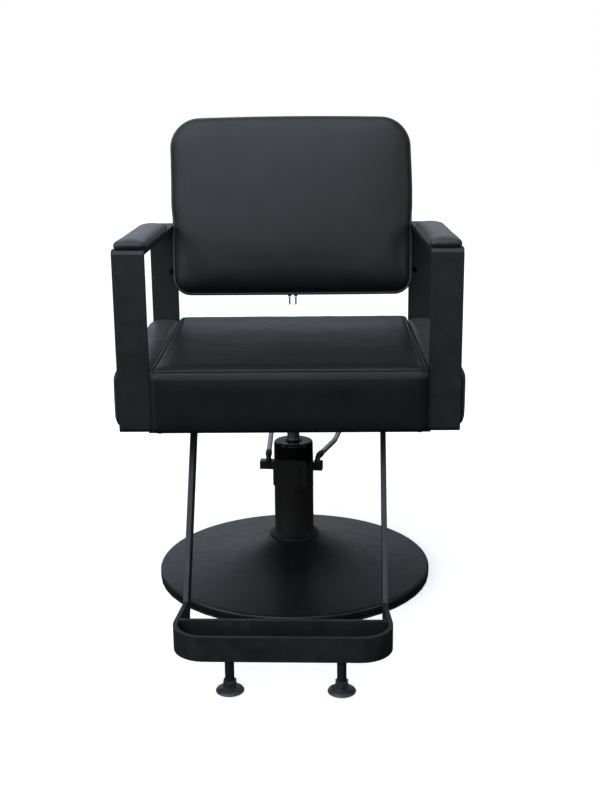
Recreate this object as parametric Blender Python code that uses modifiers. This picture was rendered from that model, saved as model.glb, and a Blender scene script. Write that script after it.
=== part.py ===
"""Hydraulic salon styling chair, one object per physical piece.

Metres, +Z up. The origin is on the floor under the pump axis, the front of
the chair is towards -Y and the sitter's left side is towards +X.
"""
import math

import bmesh
import bpy
from mathutils import Matrix, Vector

# ---------------------------------------------------------------- dimensions
GAP = 0.0003                 # clearance between touching pieces

# base
BASE_R = 0.300
RIM_Z = 0.0226               # top of the rolled rim
PLATE_R = 0.284
PLATE_T = 0.008
RING_T = 0.0042
COVER_T = 0.0022
BELL_R = 0.055               # where the bell meets the collar
BELL_LINEAR = 0.0366
BELL_FLARE = 0.0268
COVER_HOLE_R = 0.0455

# pump
PUMP_TURN = math.radians(-6.5)   # the pump stands turned on the base
COLUMN_R = 0.043
COLUMN_BORE_R = 0.036
COLUMN_TOP = 0.1985
FLANGE_R = 0.072
FLANGE_T = 0.010
COLLAR_R = 0.0552
COLLAR_Z0, COLLAR_Z1 = 0.0865, 0.0998
HEAD_R = 0.0432
HEAD_BLOCK = (-0.0396, 0.0345, -0.0478, 0.0735)   # x, y of the cast block
HEAD_BLOCK_Z0, HEAD_FRONT_Z0, HEAD_PLATE_Z1 = 0.2030, 0.2140, 0.2712
HEAD_Z0, HEAD_Z1 = 0.1990, 0.2585
CAP_Z1 = 0.3035
CAP_R0, CAP_R1, CAP_FILLET = 0.0432, 0.0426, 0.0045
CYL_R, CYL_BORE_R = 0.030, 0.0242
ROD_R = 0.0135
ROD_Z0, ROD_Z1 = 0.0225, 0.4195
PISTON_R, PISTON_H = 0.0237, 0.018

# pedal, in the pump's turned frame
SHAFT_Y, SHAFT_Z, SHAFT_R = 0.030, 0.236, 0.0095
SHAFT_LEFT, SHAFT_RIGHT = (-0.0790, -0.0420), (0.0402, 0.0607)   # square ends that hold the fork
SHAFT_SQUARE, SHAFT_UNDER = 0.0105, 0.0078
FINGER_HALF = 0.0055
PLUNGER_Y, PLUNGER_R = 0.0580, 0.006
PLUNGER_DROP = 0.0119        # plunger dome centre below the shaft axis
FORK_R = 0.006
# x of each rod at the shaft, at its bend and at the foot bar; the rods spread, then run straight back
FORK_LEFT, FORK_RIGHT = (-0.0605, -0.0760, -0.0895), (0.0497, 0.0753, 0.0800)
FORK_TURN = 0.1330
FORK_LEN = 0.2484
FORK_BEND = 0.0090
FORK_Z = 0.0125 + FORK_BEND
PEDAL_R = 0.0085
SLEEVE_R = 0.0140

# seat
SEAT_HALF = 0.2575
SEAT_Y0, SEAT_Y1 = -0.365, 0.160
SEAT_Z0, SEAT_Z1 = 0.4270, 0.5500
BOARD_HALF = 0.2520
BOARD_Y0, BOARD_Y1 = -0.350, 0.150
BOARD_Z0, BOARD_T = 0.4275, 0.012
HUB_R, HUB_Z0 = 0.030, 0.3350
MOUNT_HALF, MOUNT_T = 0.115, 0.006

# arms: flat bar loops
ARM_X0, ARM_X1 = 0.2610, 0.3210
ARM_Y0, ARM_Y1 = -0.3400, 0.1780
ARM_Z0, ARM_Z1 = 0.4201, 0.7655
ARM_DROP = 0.0045            # the upper bar runs down this much towards the back
BAR_T = 0.010
BEND_R = 0.0092
LUG_X0, LUG_X1 = 0.2380, 0.2660
LUG_Z0, LUG_Z1 = 0.4182, 0.4266
LUG_LEN = 0.030
LUG_Y = (-0.320, 0.115)
LUG_BOLT_X = 0.2470
PAD_X0, PAD_X1 = 0.2590, 0.3150
PAD_Y0, PAD_Y1 = -0.3350, 0.0060
PAD_Z1 = 0.7840
PANEL_X0, PANEL_X1 = 0.2585, 0.3330
PANEL_Z1 = 0.5440

# backrest, leaning back
LEAN = math.radians(10.0)
BACK_W = 0.5200
BACK_Z0, BACK_Z1 = 0.6165, 0.9890
BACK_Y = 0.0450              # front face at the lower edge
BACK_T = 0.0750
BACK_BOARD_T = 0.0100
BACK_R_TOP, BACK_R_LOW = 0.060, 0.040
BACK_BOLT_X, BACK_BOLT_Z = 0.2740, 0.6530

# footrest: flat bar on edge
FOOT_SKEW = math.radians(-1.25)   # the footrest hangs slightly turned
FOOT_PIVOT_Y = 0.020
FOOT_REAR_HALF = 0.1910      # outer half width at the hangers
FOOT_HALF = 0.2045           # and where the sides would reach the front bar
FOOT_Y0, FOOT_Y1 = -0.5790, -0.4300
FOOT_Z0, FOOT_Z1 = 0.0670, 0.1140
FOOT_T = 0.008
FOOT_R = 0.060
CROSS_Y = -0.5050
CROSS_Z0 = 0.0700
HANGER_SLANT = math.radians(33.5)
HANGER_W, HANGER_T = 0.040, 0.0098
HANGER_PLATE = (0.1650, 0.2150, -0.2360, -0.1500)
GLIDE_X, GLIDE_MID, GLIDE_Y = 0.1002, 0.0060, -0.5600
GLIDE_FLOOR = 0.002
NUT_R, NUT_Z0, NUT_Z1 = 0.0125, 0.0740, 0.0838
STEM_R, STEM_Z1 = 0.0085, 0.1030
GLIDE_R, GLIDE_HUB_R, GLIDE_Z1 = 0.0258, 0.0132, 0.0232

# zip pulls under the backrest
ZIP_X, ZIP_Y, ZIP_Z = 0.0068, 0.1015, 0.6030
ZIP_LEN, ZIP_W, ZIP_T = 0.0165, 0.0034, 0.0014

# ---------------------------------------------------------------- scene setup
for ob in list(bpy.data.objects):
    bpy.data.objects.remove(ob, do_unlink=True)

chair = bpy.data.collections.new("hairdressing_chair")
tools = bpy.data.collections.new("cutters")
bpy.context.scene.collection.children.link(chair)
bpy.context.scene.collection.children.link(tools)


def material(name, colour, roughness, metallic=0.0):
    mat = bpy.data.materials.new(name)
    mat.use_nodes = True
    bsdf = mat.node_tree.nodes["Principled BSDF"]
    bsdf.inputs["Base Color"].default_value = (*colour, 1.0)
    bsdf.inputs["Roughness"].default_value = roughness
    bsdf.inputs["Metallic"].default_value = metallic
    return mat


LEATHERETTE = material("leatherette", (0.020, 0.021, 0.023), 0.42)
POWDER = material("powder_coat", (0.016, 0.016, 0.017), 0.50, 0.2)
BASE_PAINT = material("base_paint", (0.024, 0.025, 0.026), 0.38, 0.2)
GLOSS = material("gloss_black", (0.010, 0.010, 0.011), 0.15)
STEEL = material("steel", (0.28, 0.28, 0.27), 0.30, 1.0)
CHROME = material("chrome", (0.55, 0.55, 0.56), 0.15, 1.0)
RUBBER = material("rubber", (0.013, 0.013, 0.013), 0.70)
PLY = material("plywood", (0.40, 0.26, 0.13), 0.65)
ZINC = material("zinc", (0.36, 0.36, 0.37), 0.35, 1.0)


# ---------------------------------------------------------------- helpers
def empty(name, location=(0, 0, 0), rotation=(0, 0, 0), parent=None):
    ob = bpy.data.objects.new(name, None)
    ob.location = location
    ob.rotation_euler = rotation
    ob.parent = parent
    chair.objects.link(ob)
    return ob


def place(name, data, mat, location=(0, 0, 0), rotation=(0, 0, 0), parent=None,
          cutter=False):
    ob = bpy.data.objects.new(name, data)
    ob.location = location
    ob.rotation_euler = rotation
    ob.parent = parent
    (tools if cutter else chair).objects.link(ob)
    if mat is not None:
        data.materials.append(mat)
    if cutter:
        ob.hide_render = True
        ob.display_type = "WIRE"
    return ob


def box_mesh(name, lo, hi):
    bm = bmesh.new()
    bmesh.ops.create_cube(bm, size=1.0)
    size = Vector(hi) - Vector(lo)
    mid = (Vector(hi) + Vector(lo)) / 2
    bmesh.ops.scale(bm, vec=size, verts=bm.verts)
    bmesh.ops.translate(bm, vec=mid, verts=bm.verts)
    me = bpy.data.meshes.new(name)
    bm.to_mesh(me)
    bm.free()
    return me


def box(name, lo, hi, mat, bevel=0.0, segments=2, **kw):
    ob = place(name, box_mesh(name, lo, hi), mat, **kw)
    if bevel:
        m = ob.modifiers.new("round_edges", "BEVEL")
        m.width = bevel
        m.segments = segments
        m.limit_method = "ANGLE"
        ob.data.shade_smooth()
        ob.data.set_sharp_from_angle(angle=math.radians(40))
    return ob


def rod_mesh(name, radius, p0, p1, sides=24):
    """Straight round bar between two points."""
    p0, p1 = Vector(p0), Vector(p1)
    d = p1 - p0
    bm = bmesh.new()
    bmesh.ops.create_cone(bm, cap_ends=True, segments=sides, radius1=radius,
                          radius2=radius, depth=d.length)
    turn = Vector((0, 0, 1)).rotation_difference(d.normalized()).to_matrix().to_4x4()
    bmesh.ops.transform(bm, matrix=Matrix.Translation((p0 + p1) / 2) @ turn,
                        verts=bm.verts)
    me = bpy.data.meshes.new(name)
    bm.to_mesh(me)
    bm.free()
    return me


def rod(name, radius, p0, p1, mat, sides=24, **kw):
    ob = place(name, rod_mesh(name, radius, p0, p1, sides), mat, **kw)
    ob.data.shade_smooth()
    ob.data.set_sharp_from_angle(angle=math.radians(40))
    return ob


def turned(name, profile, mat, steps=40, closed=False, **kw):
    """Profile of (radius, z) points, from top to bottom on the outer side."""
    bm = bmesh.new()
    vs = [bm.verts.new((r, 0.0, z)) for r, z in profile]
    for a, b in zip(vs, vs[1:]):
        bm.edges.new((a, b))
    if closed:
        bm.edges.new((vs[-1], vs[0]))
    me = bpy.data.meshes.new(name)
    bm.to_mesh(me)
    bm.free()
    ob = place(name, me, mat, **kw)
    m = ob.modifiers.new("turn", "SCREW")
    m.axis = "Z"
    m.angle = math.tau
    m.steps = m.render_steps = steps
    m.use_merge_vertices = True
    m.merge_threshold = 0.00005
    m.use_smooth_shade = True
    return ob


def arc(cx, cy, r, a0, a1, n):
    """n+1 points of an arc, angles in degrees."""
    return [(cx + r * math.cos(math.radians(a0 + (a1 - a0) * i / n)),
             cy + r * math.sin(math.radians(a0 + (a1 - a0) * i / n)))
            for i in range(n + 1)]


def rounded_rect(x0, x1, y0, y1, r, n=4, r_low=None):
    rl = r if r_low is None else r_low
    return (arc(x1 - r, y1 - r, r, 0, 90, n) + arc(x0 + r, y1 - r, r, 90, 180, n)
            + arc(x0 + rl, y0 + rl, rl, 180, 270, n)
            + arc(x1 - rl, y0 + rl, rl, 270, 360, n))


def outline(name, loops, thickness, mat, **kw):
    """Flat outline in the local XY plane, thickness centred on it, as a mesh."""
    cu = bpy.data.curves.new(name + "_outline", "CURVE")
    cu.dimensions = "2D"
    cu.fill_mode = "BOTH"
    cu.extrude = thickness / 2
    for pts in loops:
        sp = cu.splines.new("POLY")
        sp.points.add(len(pts) - 1)
        for p, (x, y) in zip(sp.points, pts):
            p.co = (x, y, 0.0, 1.0)
        sp.use_cyclic_u = True
    tmp = bpy.data.objects.new(name + "_outline", cu)
    tools.objects.link(tmp)
    me = meshed(tmp, name)
    return place(name, me, mat, **kw)


def meshed(curve_ob, name):
    """Welded mesh of a curve object, which is then removed."""
    dg = bpy.context.evaluated_depsgraph_get()
    me = bpy.data.meshes.new_from_object(curve_ob.evaluated_get(dg))
    me.name = name
    me.materials.clear()
    bm = bmesh.new()
    bm.from_mesh(me)
    bmesh.ops.remove_doubles(bm, verts=bm.verts, dist=0.00002)
    bmesh.ops.recalc_face_normals(bm, faces=bm.faces)
    bm.to_mesh(me)
    bm.free()
    bpy.data.objects.remove(curve_ob, do_unlink=True)
    return me


def tube(name, radius, pts, mat, resolution=3, **kw):
    """Round bar along a polyline."""
    cu = bpy.data.curves.new(name + "_path", "CURVE")
    cu.dimensions = "3D"
    cu.bevel_depth = radius
    cu.bevel_resolution = resolution
    cu.use_fill_caps = True
    sp = cu.splines.new("POLY")
    sp.points.add(len(pts) - 1)
    for p, co in zip(sp.points, pts):
        p.co = (*co, 1.0)
    tmp = bpy.data.objects.new(name + "_path", cu)
    tools.objects.link(tmp)
    ob = place(name, meshed(tmp, name), mat, **kw)
    ob.data.shade_smooth()
    ob.data.set_sharp_from_angle(angle=math.radians(40))
    return ob


def boolean(ob, other, operation):
    m = ob.modifiers.new(operation.lower(), "BOOLEAN")
    m.operation = operation
    m.object = other
    m.solver = "EXACT"
    return m


def drill(ob, radius, p0, p1, sides=12, parent=None):
    cut = place(ob.name + "_drill", rod_mesh(ob.name + "_drill", radius, p0, p1, sides),
                None, cutter=True, parent=parent)
    return boolean(ob, cut, "DIFFERENCE")


def cut_box(ob, lo, hi, parent=None):
    cut = place(ob.name + "_cut", box_mesh(ob.name + "_cut", lo, hi), None, cutter=True,
                parent=parent)
    return boolean(ob, cut, "DIFFERENCE")


def weld_box(ob, lo, hi, parent=None, **kw):
    add = place(ob.name + "_add", box_mesh(ob.name + "_add", lo, hi), None, cutter=True,
                parent=parent, **kw)
    return boolean(ob, add, "UNION")


def weld_rod(ob, radius, p0, p1, sides=24, parent=None):
    add = place(ob.name + "_add", rod_mesh(ob.name + "_add", radius, p0, p1, sides), None,
                cutter=True, parent=parent)
    return boolean(ob, add, "UNION")


def bolt(name, head_r, head_h, shank_r, length, mat, sides=8, **kw):
    """Round-headed bolt: head below z=0, shank upwards."""
    prof = [(0.0, length), (shank_r, length), (shank_r, 0.0), (head_r, 0.0),
            (head_r, -head_h * 0.7), (head_r * 0.75, -head_h), (0.0, -head_h)]
    return turned(name, prof, mat, steps=sides, **kw)


# ---------------------------------------------------------------- base
base_frame = empty("base_frame")
pump_frame = empty("pump_frame", rotation=(0, 0, PUMP_TURN), parent=base_frame)

base_plate = turned("base_plate", [(0.0, PLATE_T), (PLATE_R, PLATE_T), (PLATE_R, 0.0),
                                   (0.0, 0.0)], POWDER, steps=48, parent=base_frame)

turned("base_floor_ring", [(BASE_R - 0.0005, RING_T), (BASE_R - 0.0005, 0.0),
                           (PLATE_R + 0.0012, 0.0), (PLATE_R + 0.0012, RING_T)],
       RUBBER, steps=48, closed=True, parent=base_frame)


def bell_z(r):
    """Height of the cover's upper surface over radius r."""
    u = (BASE_R - 0.006 - r) / (BASE_R - 0.006 - BELL_R)
    return RIM_Z + BELL_LINEAR * u + BELL_FLARE * u ** 5


outer = [(COVER_HOLE_R, bell_z(BELL_R) - 0.0002)]
for k in range(10):
    s = (k / 9.0) ** 1.6
    r = BELL_R + (BASE_R - 0.006 - BELL_R) * s
    outer.append((r, bell_z(r)))
outer += [(BASE_R - 0.0016, RIM_Z - 0.0016), (BASE_R, RIM_Z - 0.006),
          (BASE_R, RING_T + GAP)]
inner = [(BASE_R - COVER_T, RING_T + GAP), (BASE_R - COVER_T, RIM_Z - 0.0065)]
for k in range(6):
    s = 1.0 - k / 5.0
    r = BELL_R + (BASE_R - 0.0075 - BELL_R) * s ** 1.6
    inner.append((r, bell_z(r) - COVER_T))
inner.append((COVER_HOLE_R, bell_z(BELL_R) - COVER_T))
turned("base_cover", outer + inner, BASE_PAINT, steps=48, closed=True, parent=base_frame)

# ---------------------------------------------------------------- pump
casing = turned("pump_casing", [
    (COLUMN_R, COLUMN_TOP), (COLUMN_R, PLATE_T + GAP + FLANGE_T),
    (FLANGE_R, PLATE_T + GAP + FLANGE_T), (FLANGE_R, PLATE_T + GAP),
    (COLUMN_BORE_R, PLATE_T + GAP), (COLUMN_BORE_R, COLUMN_TOP)],
    POWDER, steps=40, closed=True, parent=pump_frame)

for k in range(3):
    a = math.radians(90 + 120 * k)
    p = Vector((0.0575 * math.cos(a), 0.0575 * math.sin(a), 0.0))
    top = PLATE_T + GAP + FLANGE_T
    drill(casing, 0.0044, p + Vector((0, 0, 0.004)), p + Vector((0, 0, top + 0.004)),
          parent=pump_frame)
    w = Matrix.Rotation(PUMP_TURN, 4, "Z") @ p
    drill(base_plate, 0.0044, w + Vector((0, 0, 0.003)), w + Vector((0, 0, 0.012)),
          parent=base_frame)
    bolt("pump_bolt_%d" % (k + 1), 0.0070, 0.0050, 0.0040, 0.0142, ZINC,
         location=p + Vector((0, 0, top + GAP)), rotation=(math.pi, 0, 0),
         parent=pump_frame)

# trim ring, flared down to the cover
turned("column_collar", [
    (COLUMN_R + 0.0005, COLLAR_Z1), (COLUMN_R + 0.0020, COLLAR_Z1 - 0.0004),
    (COLUMN_R + 0.0042, COLLAR_Z1 - 0.0030), (COLUMN_R + 0.0078, COLLAR_Z1 - 0.0062),
    (COLLAR_R - 0.0008, COLLAR_Z1 - 0.0086), (COLLAR_R, COLLAR_Z1 - 0.0100),
    (COLLAR_R, COLLAR_Z0), (COLUMN_R + 0.0005, COLLAR_Z0)],
    RUBBER, steps=40, closed=True, parent=pump_frame)

turned("main_cylinder", [
    (CYL_R, COLUMN_TOP - 0.0005), (CYL_R, PLATE_T + GAP), (CYL_BORE_R, PLATE_T + GAP),
    (CYL_BORE_R, COLUMN_TOP - 0.0005)], STEEL, steps=32, closed=True, parent=pump_frame)

head = rod("pump_head", HEAD_R, (0, 0, HEAD_Z0), (0, 0, HEAD_Z1), POWDER, sides=40,
           parent=pump_frame)
hx0, hx1, hy0, hy1 = HEAD_BLOCK
block = outline("pump_head_block", [rounded_rect(hx0, hx1, hy0, hy1, 0.0050, 3, 0.0040)],
                HEAD_Z1 + 0.0002 - HEAD_FRONT_Z0, None, cutter=True,
                location=(0, 0, (HEAD_Z1 + 0.0002 + HEAD_FRONT_Z0) / 2), parent=pump_frame)
boolean(head, block, "UNION")
weld_box(head, (hx0 + 0.0006, 0.0050, HEAD_BLOCK_Z0),
         (hx1 - 0.0006, hy1 - 0.0006, HEAD_FRONT_Z0 + 0.0040), parent=pump_frame)
# flat plate that stands up in front of the cap
weld_box(head, (hx0 + 0.0014, hy0 + 0.0003, HEAD_FRONT_Z0 + 0.0100),
         (hx1 - 0.0014, -CAP_R0 - 0.0005, HEAD_PLATE_Z1), parent=pump_frame)
# groove in the flat front
cut_box(head, (0.0183, hy0 - 0.001, HEAD_FRONT_Z0 - 0.001), (0.0272, hy0 + 0.0038, 0.2560),
        parent=pump_frame)
drill(head, ROD_R + 0.0005, (0, 0, HEAD_Z0 - 0.01), (0, 0, HEAD_Z1 + 0.01), sides=24,
      parent=pump_frame)
drill(head, SHAFT_R + 0.0004, (-0.08, SHAFT_Y, SHAFT_Z), (0.08, SHAFT_Y, SHAFT_Z),
      sides=24, parent=pump_frame)
cut_box(head, (-0.0075, SHAFT_Y, 0.2150), (0.0075, 0.0680, HEAD_Z1 + 0.01),
        parent=pump_frame)
drill(head, PLUNGER_R + 0.0005, (0, PLUNGER_Y, 0.1950), (0, PLUNGER_Y, 0.2300), sides=20,
      parent=pump_frame)

turned("plunger_barrel", [
    (0.0, 0.1500), (PLUNGER_R + 0.0005, 0.1500), (PLUNGER_R + 0.0005, 0.2027),
    (0.0110, 0.2027), (0.0110, 0.1460), (0.0, 0.1460)], POWDER, steps=20,
    location=(0, PLUNGER_Y, 0), parent=pump_frame)

cap_top = [(CAP_R1 - CAP_FILLET + CAP_FILLET * math.sin(math.radians(a)),
            CAP_Z1 - CAP_FILLET + CAP_FILLET * math.cos(math.radians(a)))
           for a in (0, 30, 60, 90)]
turned("pump_cap", [(ROD_R + 0.0007, CAP_Z1)] + cap_top + [
    (CAP_R0, HEAD_Z1 + GAP), (CAP_R0 - 0.003, HEAD_Z1 + GAP),
    (CAP_R1 - 0.003, CAP_Z1 - 0.006), (ROD_R + 0.0007, CAP_Z1 - 0.004)],
    GLOSS, steps=40, closed=True, parent=pump_frame)

turned("rod_seal", [
    (0.0160, CAP_Z1 + 0.0030), (0.0195, CAP_Z1 + GAP), (ROD_R + 0.0005, CAP_Z1 + GAP),
    (ROD_R + 0.0005, CAP_Z1 + 0.0030)], RUBBER, steps=28, closed=True, parent=pump_frame)

# ---------------------------------------------------------------- lift
lift_frame = empty("lift_frame", parent=base_frame)
turned("piston_rod", [(0.0, ROD_Z1), (ROD_R - 0.0015, ROD_Z1), (ROD_R, ROD_Z1 - 0.0015),
                      (ROD_R, ROD_Z0), (0.0, ROD_Z0)], STEEL, steps=28, parent=lift_frame)
turned("piston", [(PISTON_R, ROD_Z0 + PISTON_H), (PISTON_R, ROD_Z0),
                  (ROD_R + GAP, ROD_Z0), (ROD_R + GAP, ROD_Z0 + PISTON_H)], RUBBER,
       steps=28, closed=True, parent=lift_frame)

# ---------------------------------------------------------------- pedal
pedal_frame = empty("pedal_frame", location=(0, SHAFT_Y, SHAFT_Z), parent=pump_frame)
shaft = rod("pedal_shaft", SHAFT_R, (SHAFT_LEFT[1] - 0.004, 0, 0),
            (SHAFT_RIGHT[0] + 0.004, 0, 0), POWDER, parent=pedal_frame)
weld_box(shaft, (-0.0055, 0.0, -FINGER_HALF), (0.0055, 0.0355, FINGER_HALF),
         parent=pedal_frame)
for xa, xb in (SHAFT_LEFT, SHAFT_RIGHT):
    weld_box(shaft, (xa, -SHAFT_SQUARE, -SHAFT_UNDER), (xb, SHAFT_SQUARE, SHAFT_SQUARE),
             parent=pedal_frame)

for side, (x0, xm, x1) in (("left", FORK_LEFT), ("right", FORK_RIGHT)):
    # the rod leaves the square end upwards, bends back, and turns once more on its way
    start = Vector((x0, 0, 0))
    run = Vector((xm - x0, FORK_TURN, 0)).normalized()
    path = [start + Vector((0, 0, SHAFT_SQUARE + GAP))]
    for k in range(6):
        a = math.pi / 2 * k / 5
        path.append(start + run * (FORK_BEND * (1 - math.cos(a)))
                    + Vector((0, 0, FORK_Z - FORK_BEND + FORK_BEND * math.sin(a))))
    up = Vector((0, 0, FORK_Z))
    turn = Vector((xm, FORK_TURN, FORK_Z))
    end = Vector((x1, FORK_LEN, FORK_Z))
    on = (end - turn).normalized()
    path += [turn - run * 0.010, turn - run * 0.0035 + on * 0.0010, turn - run * 0.0010 + on * 0.0035,
             turn + on * 0.010, end]
    tube("pedal_arm_" + side, FORK_R, path, CHROME, resolution=3, parent=pedal_frame)
    sleeve = rod("pedal_collar_" + side, 0.0074, start + up + run * 0.0110,
                 start + up + run * 0.0260, RUBBER, sides=20, parent=pedal_frame)
    drill(sleeve, FORK_R + 0.0004, start + up + run * 0.0090, turn, sides=20,
          parent=pedal_frame)

bar_y = FORK_LEN + PEDAL_R + GAP + 0.0012
bar_mid = (FORK_LEFT[2] + FORK_RIGHT[2]) / 2
rod("pedal_bar", PEDAL_R, (FORK_LEFT[2] - 0.010, bar_y, FORK_Z),
    (FORK_RIGHT[2] + 0.010, bar_y, FORK_Z), CHROME, sides=20, parent=pedal_frame)
grip = rod("pedal_sleeve", SLEEVE_R, (bar_mid - 0.0740, bar_y, FORK_Z),
           (bar_mid + 0.0740, bar_y, FORK_Z), RUBBER, sides=24, parent=pedal_frame)
drill(grip, PEDAL_R + GAP, (bar_mid - 0.09, bar_y, FORK_Z), (bar_mid + 0.09, bar_y, FORK_Z),
      sides=20, parent=pedal_frame)

# ---------------------------------------------------------------- plunger
plunger_frame = empty("plunger_frame", location=(0, PLUNGER_Y, SHAFT_Z - PLUNGER_DROP),
                      parent=pump_frame)
dome = [(PLUNGER_R * math.sin(math.radians(a)), PLUNGER_R * math.cos(math.radians(a)))
        for a in (0, 30, 60, 90)]
plunger_foot = 0.1860 - (SHAFT_Z - PLUNGER_DROP)
turned("plunger", dome + [(PLUNGER_R, plunger_foot), (0.0, plunger_foot)], STEEL,
       steps=20, parent=plunger_frame)

coil_z0, coil_z1, coil_turns, coil_r = 0.1515, 0.1845, 5, 0.0046
coil = []
for k in range(coil_turns * 10 + 1):
    a = math.tau * k / 10.0
    coil.append((coil_r * math.cos(a), PLUNGER_Y + coil_r * math.sin(a),
                 coil_z0 + (coil_z1 - coil_z0) * k / (coil_turns * 10)))
tube("plunger_spring", 0.0009, coil, STEEL, resolution=1, parent=pump_frame)

# ---------------------------------------------------------------- seat
seat_frame = empty("seat_frame", parent=lift_frame)
plate_z1 = BOARD_Z0 - GAP
plate = box("seat_plate", (-MOUNT_HALF, -MOUNT_HALF, plate_z1 - MOUNT_T),
            (MOUNT_HALF, MOUNT_HALF, plate_z1), POWDER, parent=seat_frame)
weld_rod(plate, HUB_R, (0, 0, HUB_Z0), (0, 0, plate_z1 - MOUNT_T / 2), sides=28,
         parent=seat_frame)
drill(plate, ROD_R + 0.0004, (0, 0, HUB_Z0 - 0.02), (0, 0, ROD_Z1 + GAP), sides=28,
      parent=seat_frame)

board = box("seat_board", (-BOARD_HALF, BOARD_Y0, BOARD_Z0),
            (BOARD_HALF, BOARD_Y1, BOARD_Z0 + BOARD_T), PLY, parent=seat_frame)


def bolt_up(name, x, y, head_z, through, mat=ZINC, length=0.0150, parent=None):
    """Bolt from below at (x, y), its head under head_z, drilled through pieces."""
    parent = parent or seat_frame
    for ob in through:
        drill(ob, 0.0035, (x, y, head_z - 0.010), (x, y, head_z + length + 0.0008),
              parent=parent)
    bolt(name, 0.0060, 0.0040, 0.0030, length, mat, location=(x, y, head_z - GAP),
         parent=parent)


k = 0
for x in (-0.090, 0.090):
    for y in (-0.090, 0.090):
        k += 1
        bolt_up("seat_bolt_%d" % k, x, y, plate_z1 - MOUNT_T, (plate, board))

cushion = box("seat_cushion", (-SEAT_HALF, SEAT_Y0, SEAT_Z0), (SEAT_HALF, SEAT_Y1, SEAT_Z1),
              LEATHERETTE, parent=seat_frame)
cut_box(cushion, (-BOARD_HALF - GAP, BOARD_Y0 - GAP, SEAT_Z0 - 0.01),
        (BOARD_HALF + GAP, BOARD_Y1 + GAP, BOARD_Z0 + BOARD_T + GAP), parent=seat_frame)
m = cushion.modifiers.new("round_edges", "BEVEL")
m.width = 0.004
m.segments = 2
m.limit_method = "ANGLE"
m.angle_limit = math.radians(60)
cushion.modifiers.move(1, 0)

# ---------------------------------------------------------------- arms
def dropped(points):
    """Points of an arm loop, its upper bar running down towards the back."""
    mid = (ARM_Z0 + ARM_Z1) / 2
    return [(y, z - (ARM_DROP * (y - ARM_Y0) / (ARM_Y1 - ARM_Y0) if z > mid else 0.0))
            for y, z in points]


# local frame of the upper bars' top face, y along them
arm_top = empty("arm_top", location=(0, ARM_Y0, ARM_Z1),
                rotation=(-math.atan(ARM_DROP / (ARM_Y1 - ARM_Y0)), 0, 0), parent=seat_frame)

for side, s in (("left", -1), ("right", 1)):
    mid = s * (ARM_X0 + ARM_X1) / 2
    loop = outline("arm_frame_" + side, [
        dropped(rounded_rect(ARM_Y0, ARM_Y1, ARM_Z0, ARM_Z1, BEND_R, 5)),
        dropped(rounded_rect(ARM_Y0 + BAR_T, ARM_Y1 - BAR_T, ARM_Z0 + BAR_T, ARM_Z1 - BAR_T,
                             0.003, 2))],
        ARM_X1 - ARM_X0, POWDER, location=(mid, 0, 0),
        rotation=(math.pi / 2, 0, math.pi / 2), parent=seat_frame)
    for end, y in (("front", LUG_Y[0]), ("rear", LUG_Y[1])):
        xa, xb = sorted((s * LUG_X0, s * LUG_X1))
        weld_box(loop, (xa, y - LUG_LEN / 2, LUG_Z0), (xb, y + LUG_LEN / 2, LUG_Z1),
                 parent=seat_frame)
        bolt_up("arm_bolt_%s_%s" % (end, side), s * LUG_BOLT_X, y, LUG_Z0, (loop, board),
                length=0.0190)
    # bolt that holds the backrest bracket behind the rear post
    bx = s * BACK_BOLT_X
    drill(loop, 0.0044, (bx, ARM_Y1 - 0.02, BACK_BOLT_Z), (bx, ARM_Y1 + 0.02, BACK_BOLT_Z),
          parent=seat_frame)
    bolt("back_bolt_" + side, 0.0065, 0.0030, 0.0040, 0.0190, GLOSS,
         location=(bx, ARM_Y1 - BAR_T - GAP, BACK_BOLT_Z), rotation=(-math.pi / 2, 0, 0),
         parent=seat_frame)

    xa, xb = sorted((s * PAD_X0, s * PAD_X1))
    box("arm_pad_" + side, (xa, PAD_Y0 - ARM_Y0, GAP), (xb, PAD_Y1 - ARM_Y0, PAD_Z1 - ARM_Z1),
        LEATHERETTE, bevel=0.006, segments=3, parent=arm_top)

    xa, xb = sorted((s * PANEL_X0, s * PANEL_X1))
    box("side_panel_" + side, (xa, ARM_Y0 + BAR_T + 0.0008, ARM_Z0 + BAR_T + GAP),
        (xb, ARM_Y1 - BAR_T - 0.0008, PANEL_Z1), LEATHERETTE, bevel=0.010, segments=3,
        parent=seat_frame)

# ---------------------------------------------------------------- backrest
# local frame: x across, y up the backrest, z towards the front
back_frame = empty("back_frame", location=(0, BACK_Y, BACK_Z0),
                   rotation=(math.pi / 2 - LEAN, 0, 0), parent=seat_frame)
back_len = (BACK_Z1 - BACK_Z0) / math.cos(LEAN)
back = outline("backrest_cushion", [
    rounded_rect(-BACK_W / 2, BACK_W / 2, 0.0, back_len, BACK_R_TOP, 6, BACK_R_LOW)],
    BACK_T, LEATHERETTE, location=(0, 0, -BACK_T / 2), parent=back_frame)
m = back.modifiers.new("round_edges", "BEVEL")
m.width = 0.008
m.segments = 2
m.limit_method = "ANGLE"
m.angle_limit = math.radians(60)
back_board = outline("backrest_board", [
    rounded_rect(-BACK_W / 2 + 0.012, BACK_W / 2 - 0.012, 0.012, back_len - 0.012, 0.035, 4)],
    BACK_BOARD_T, PLY,
    location=(0, 0, -BACK_T - GAP - BACK_BOARD_T / 2), parent=back_frame)

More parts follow.
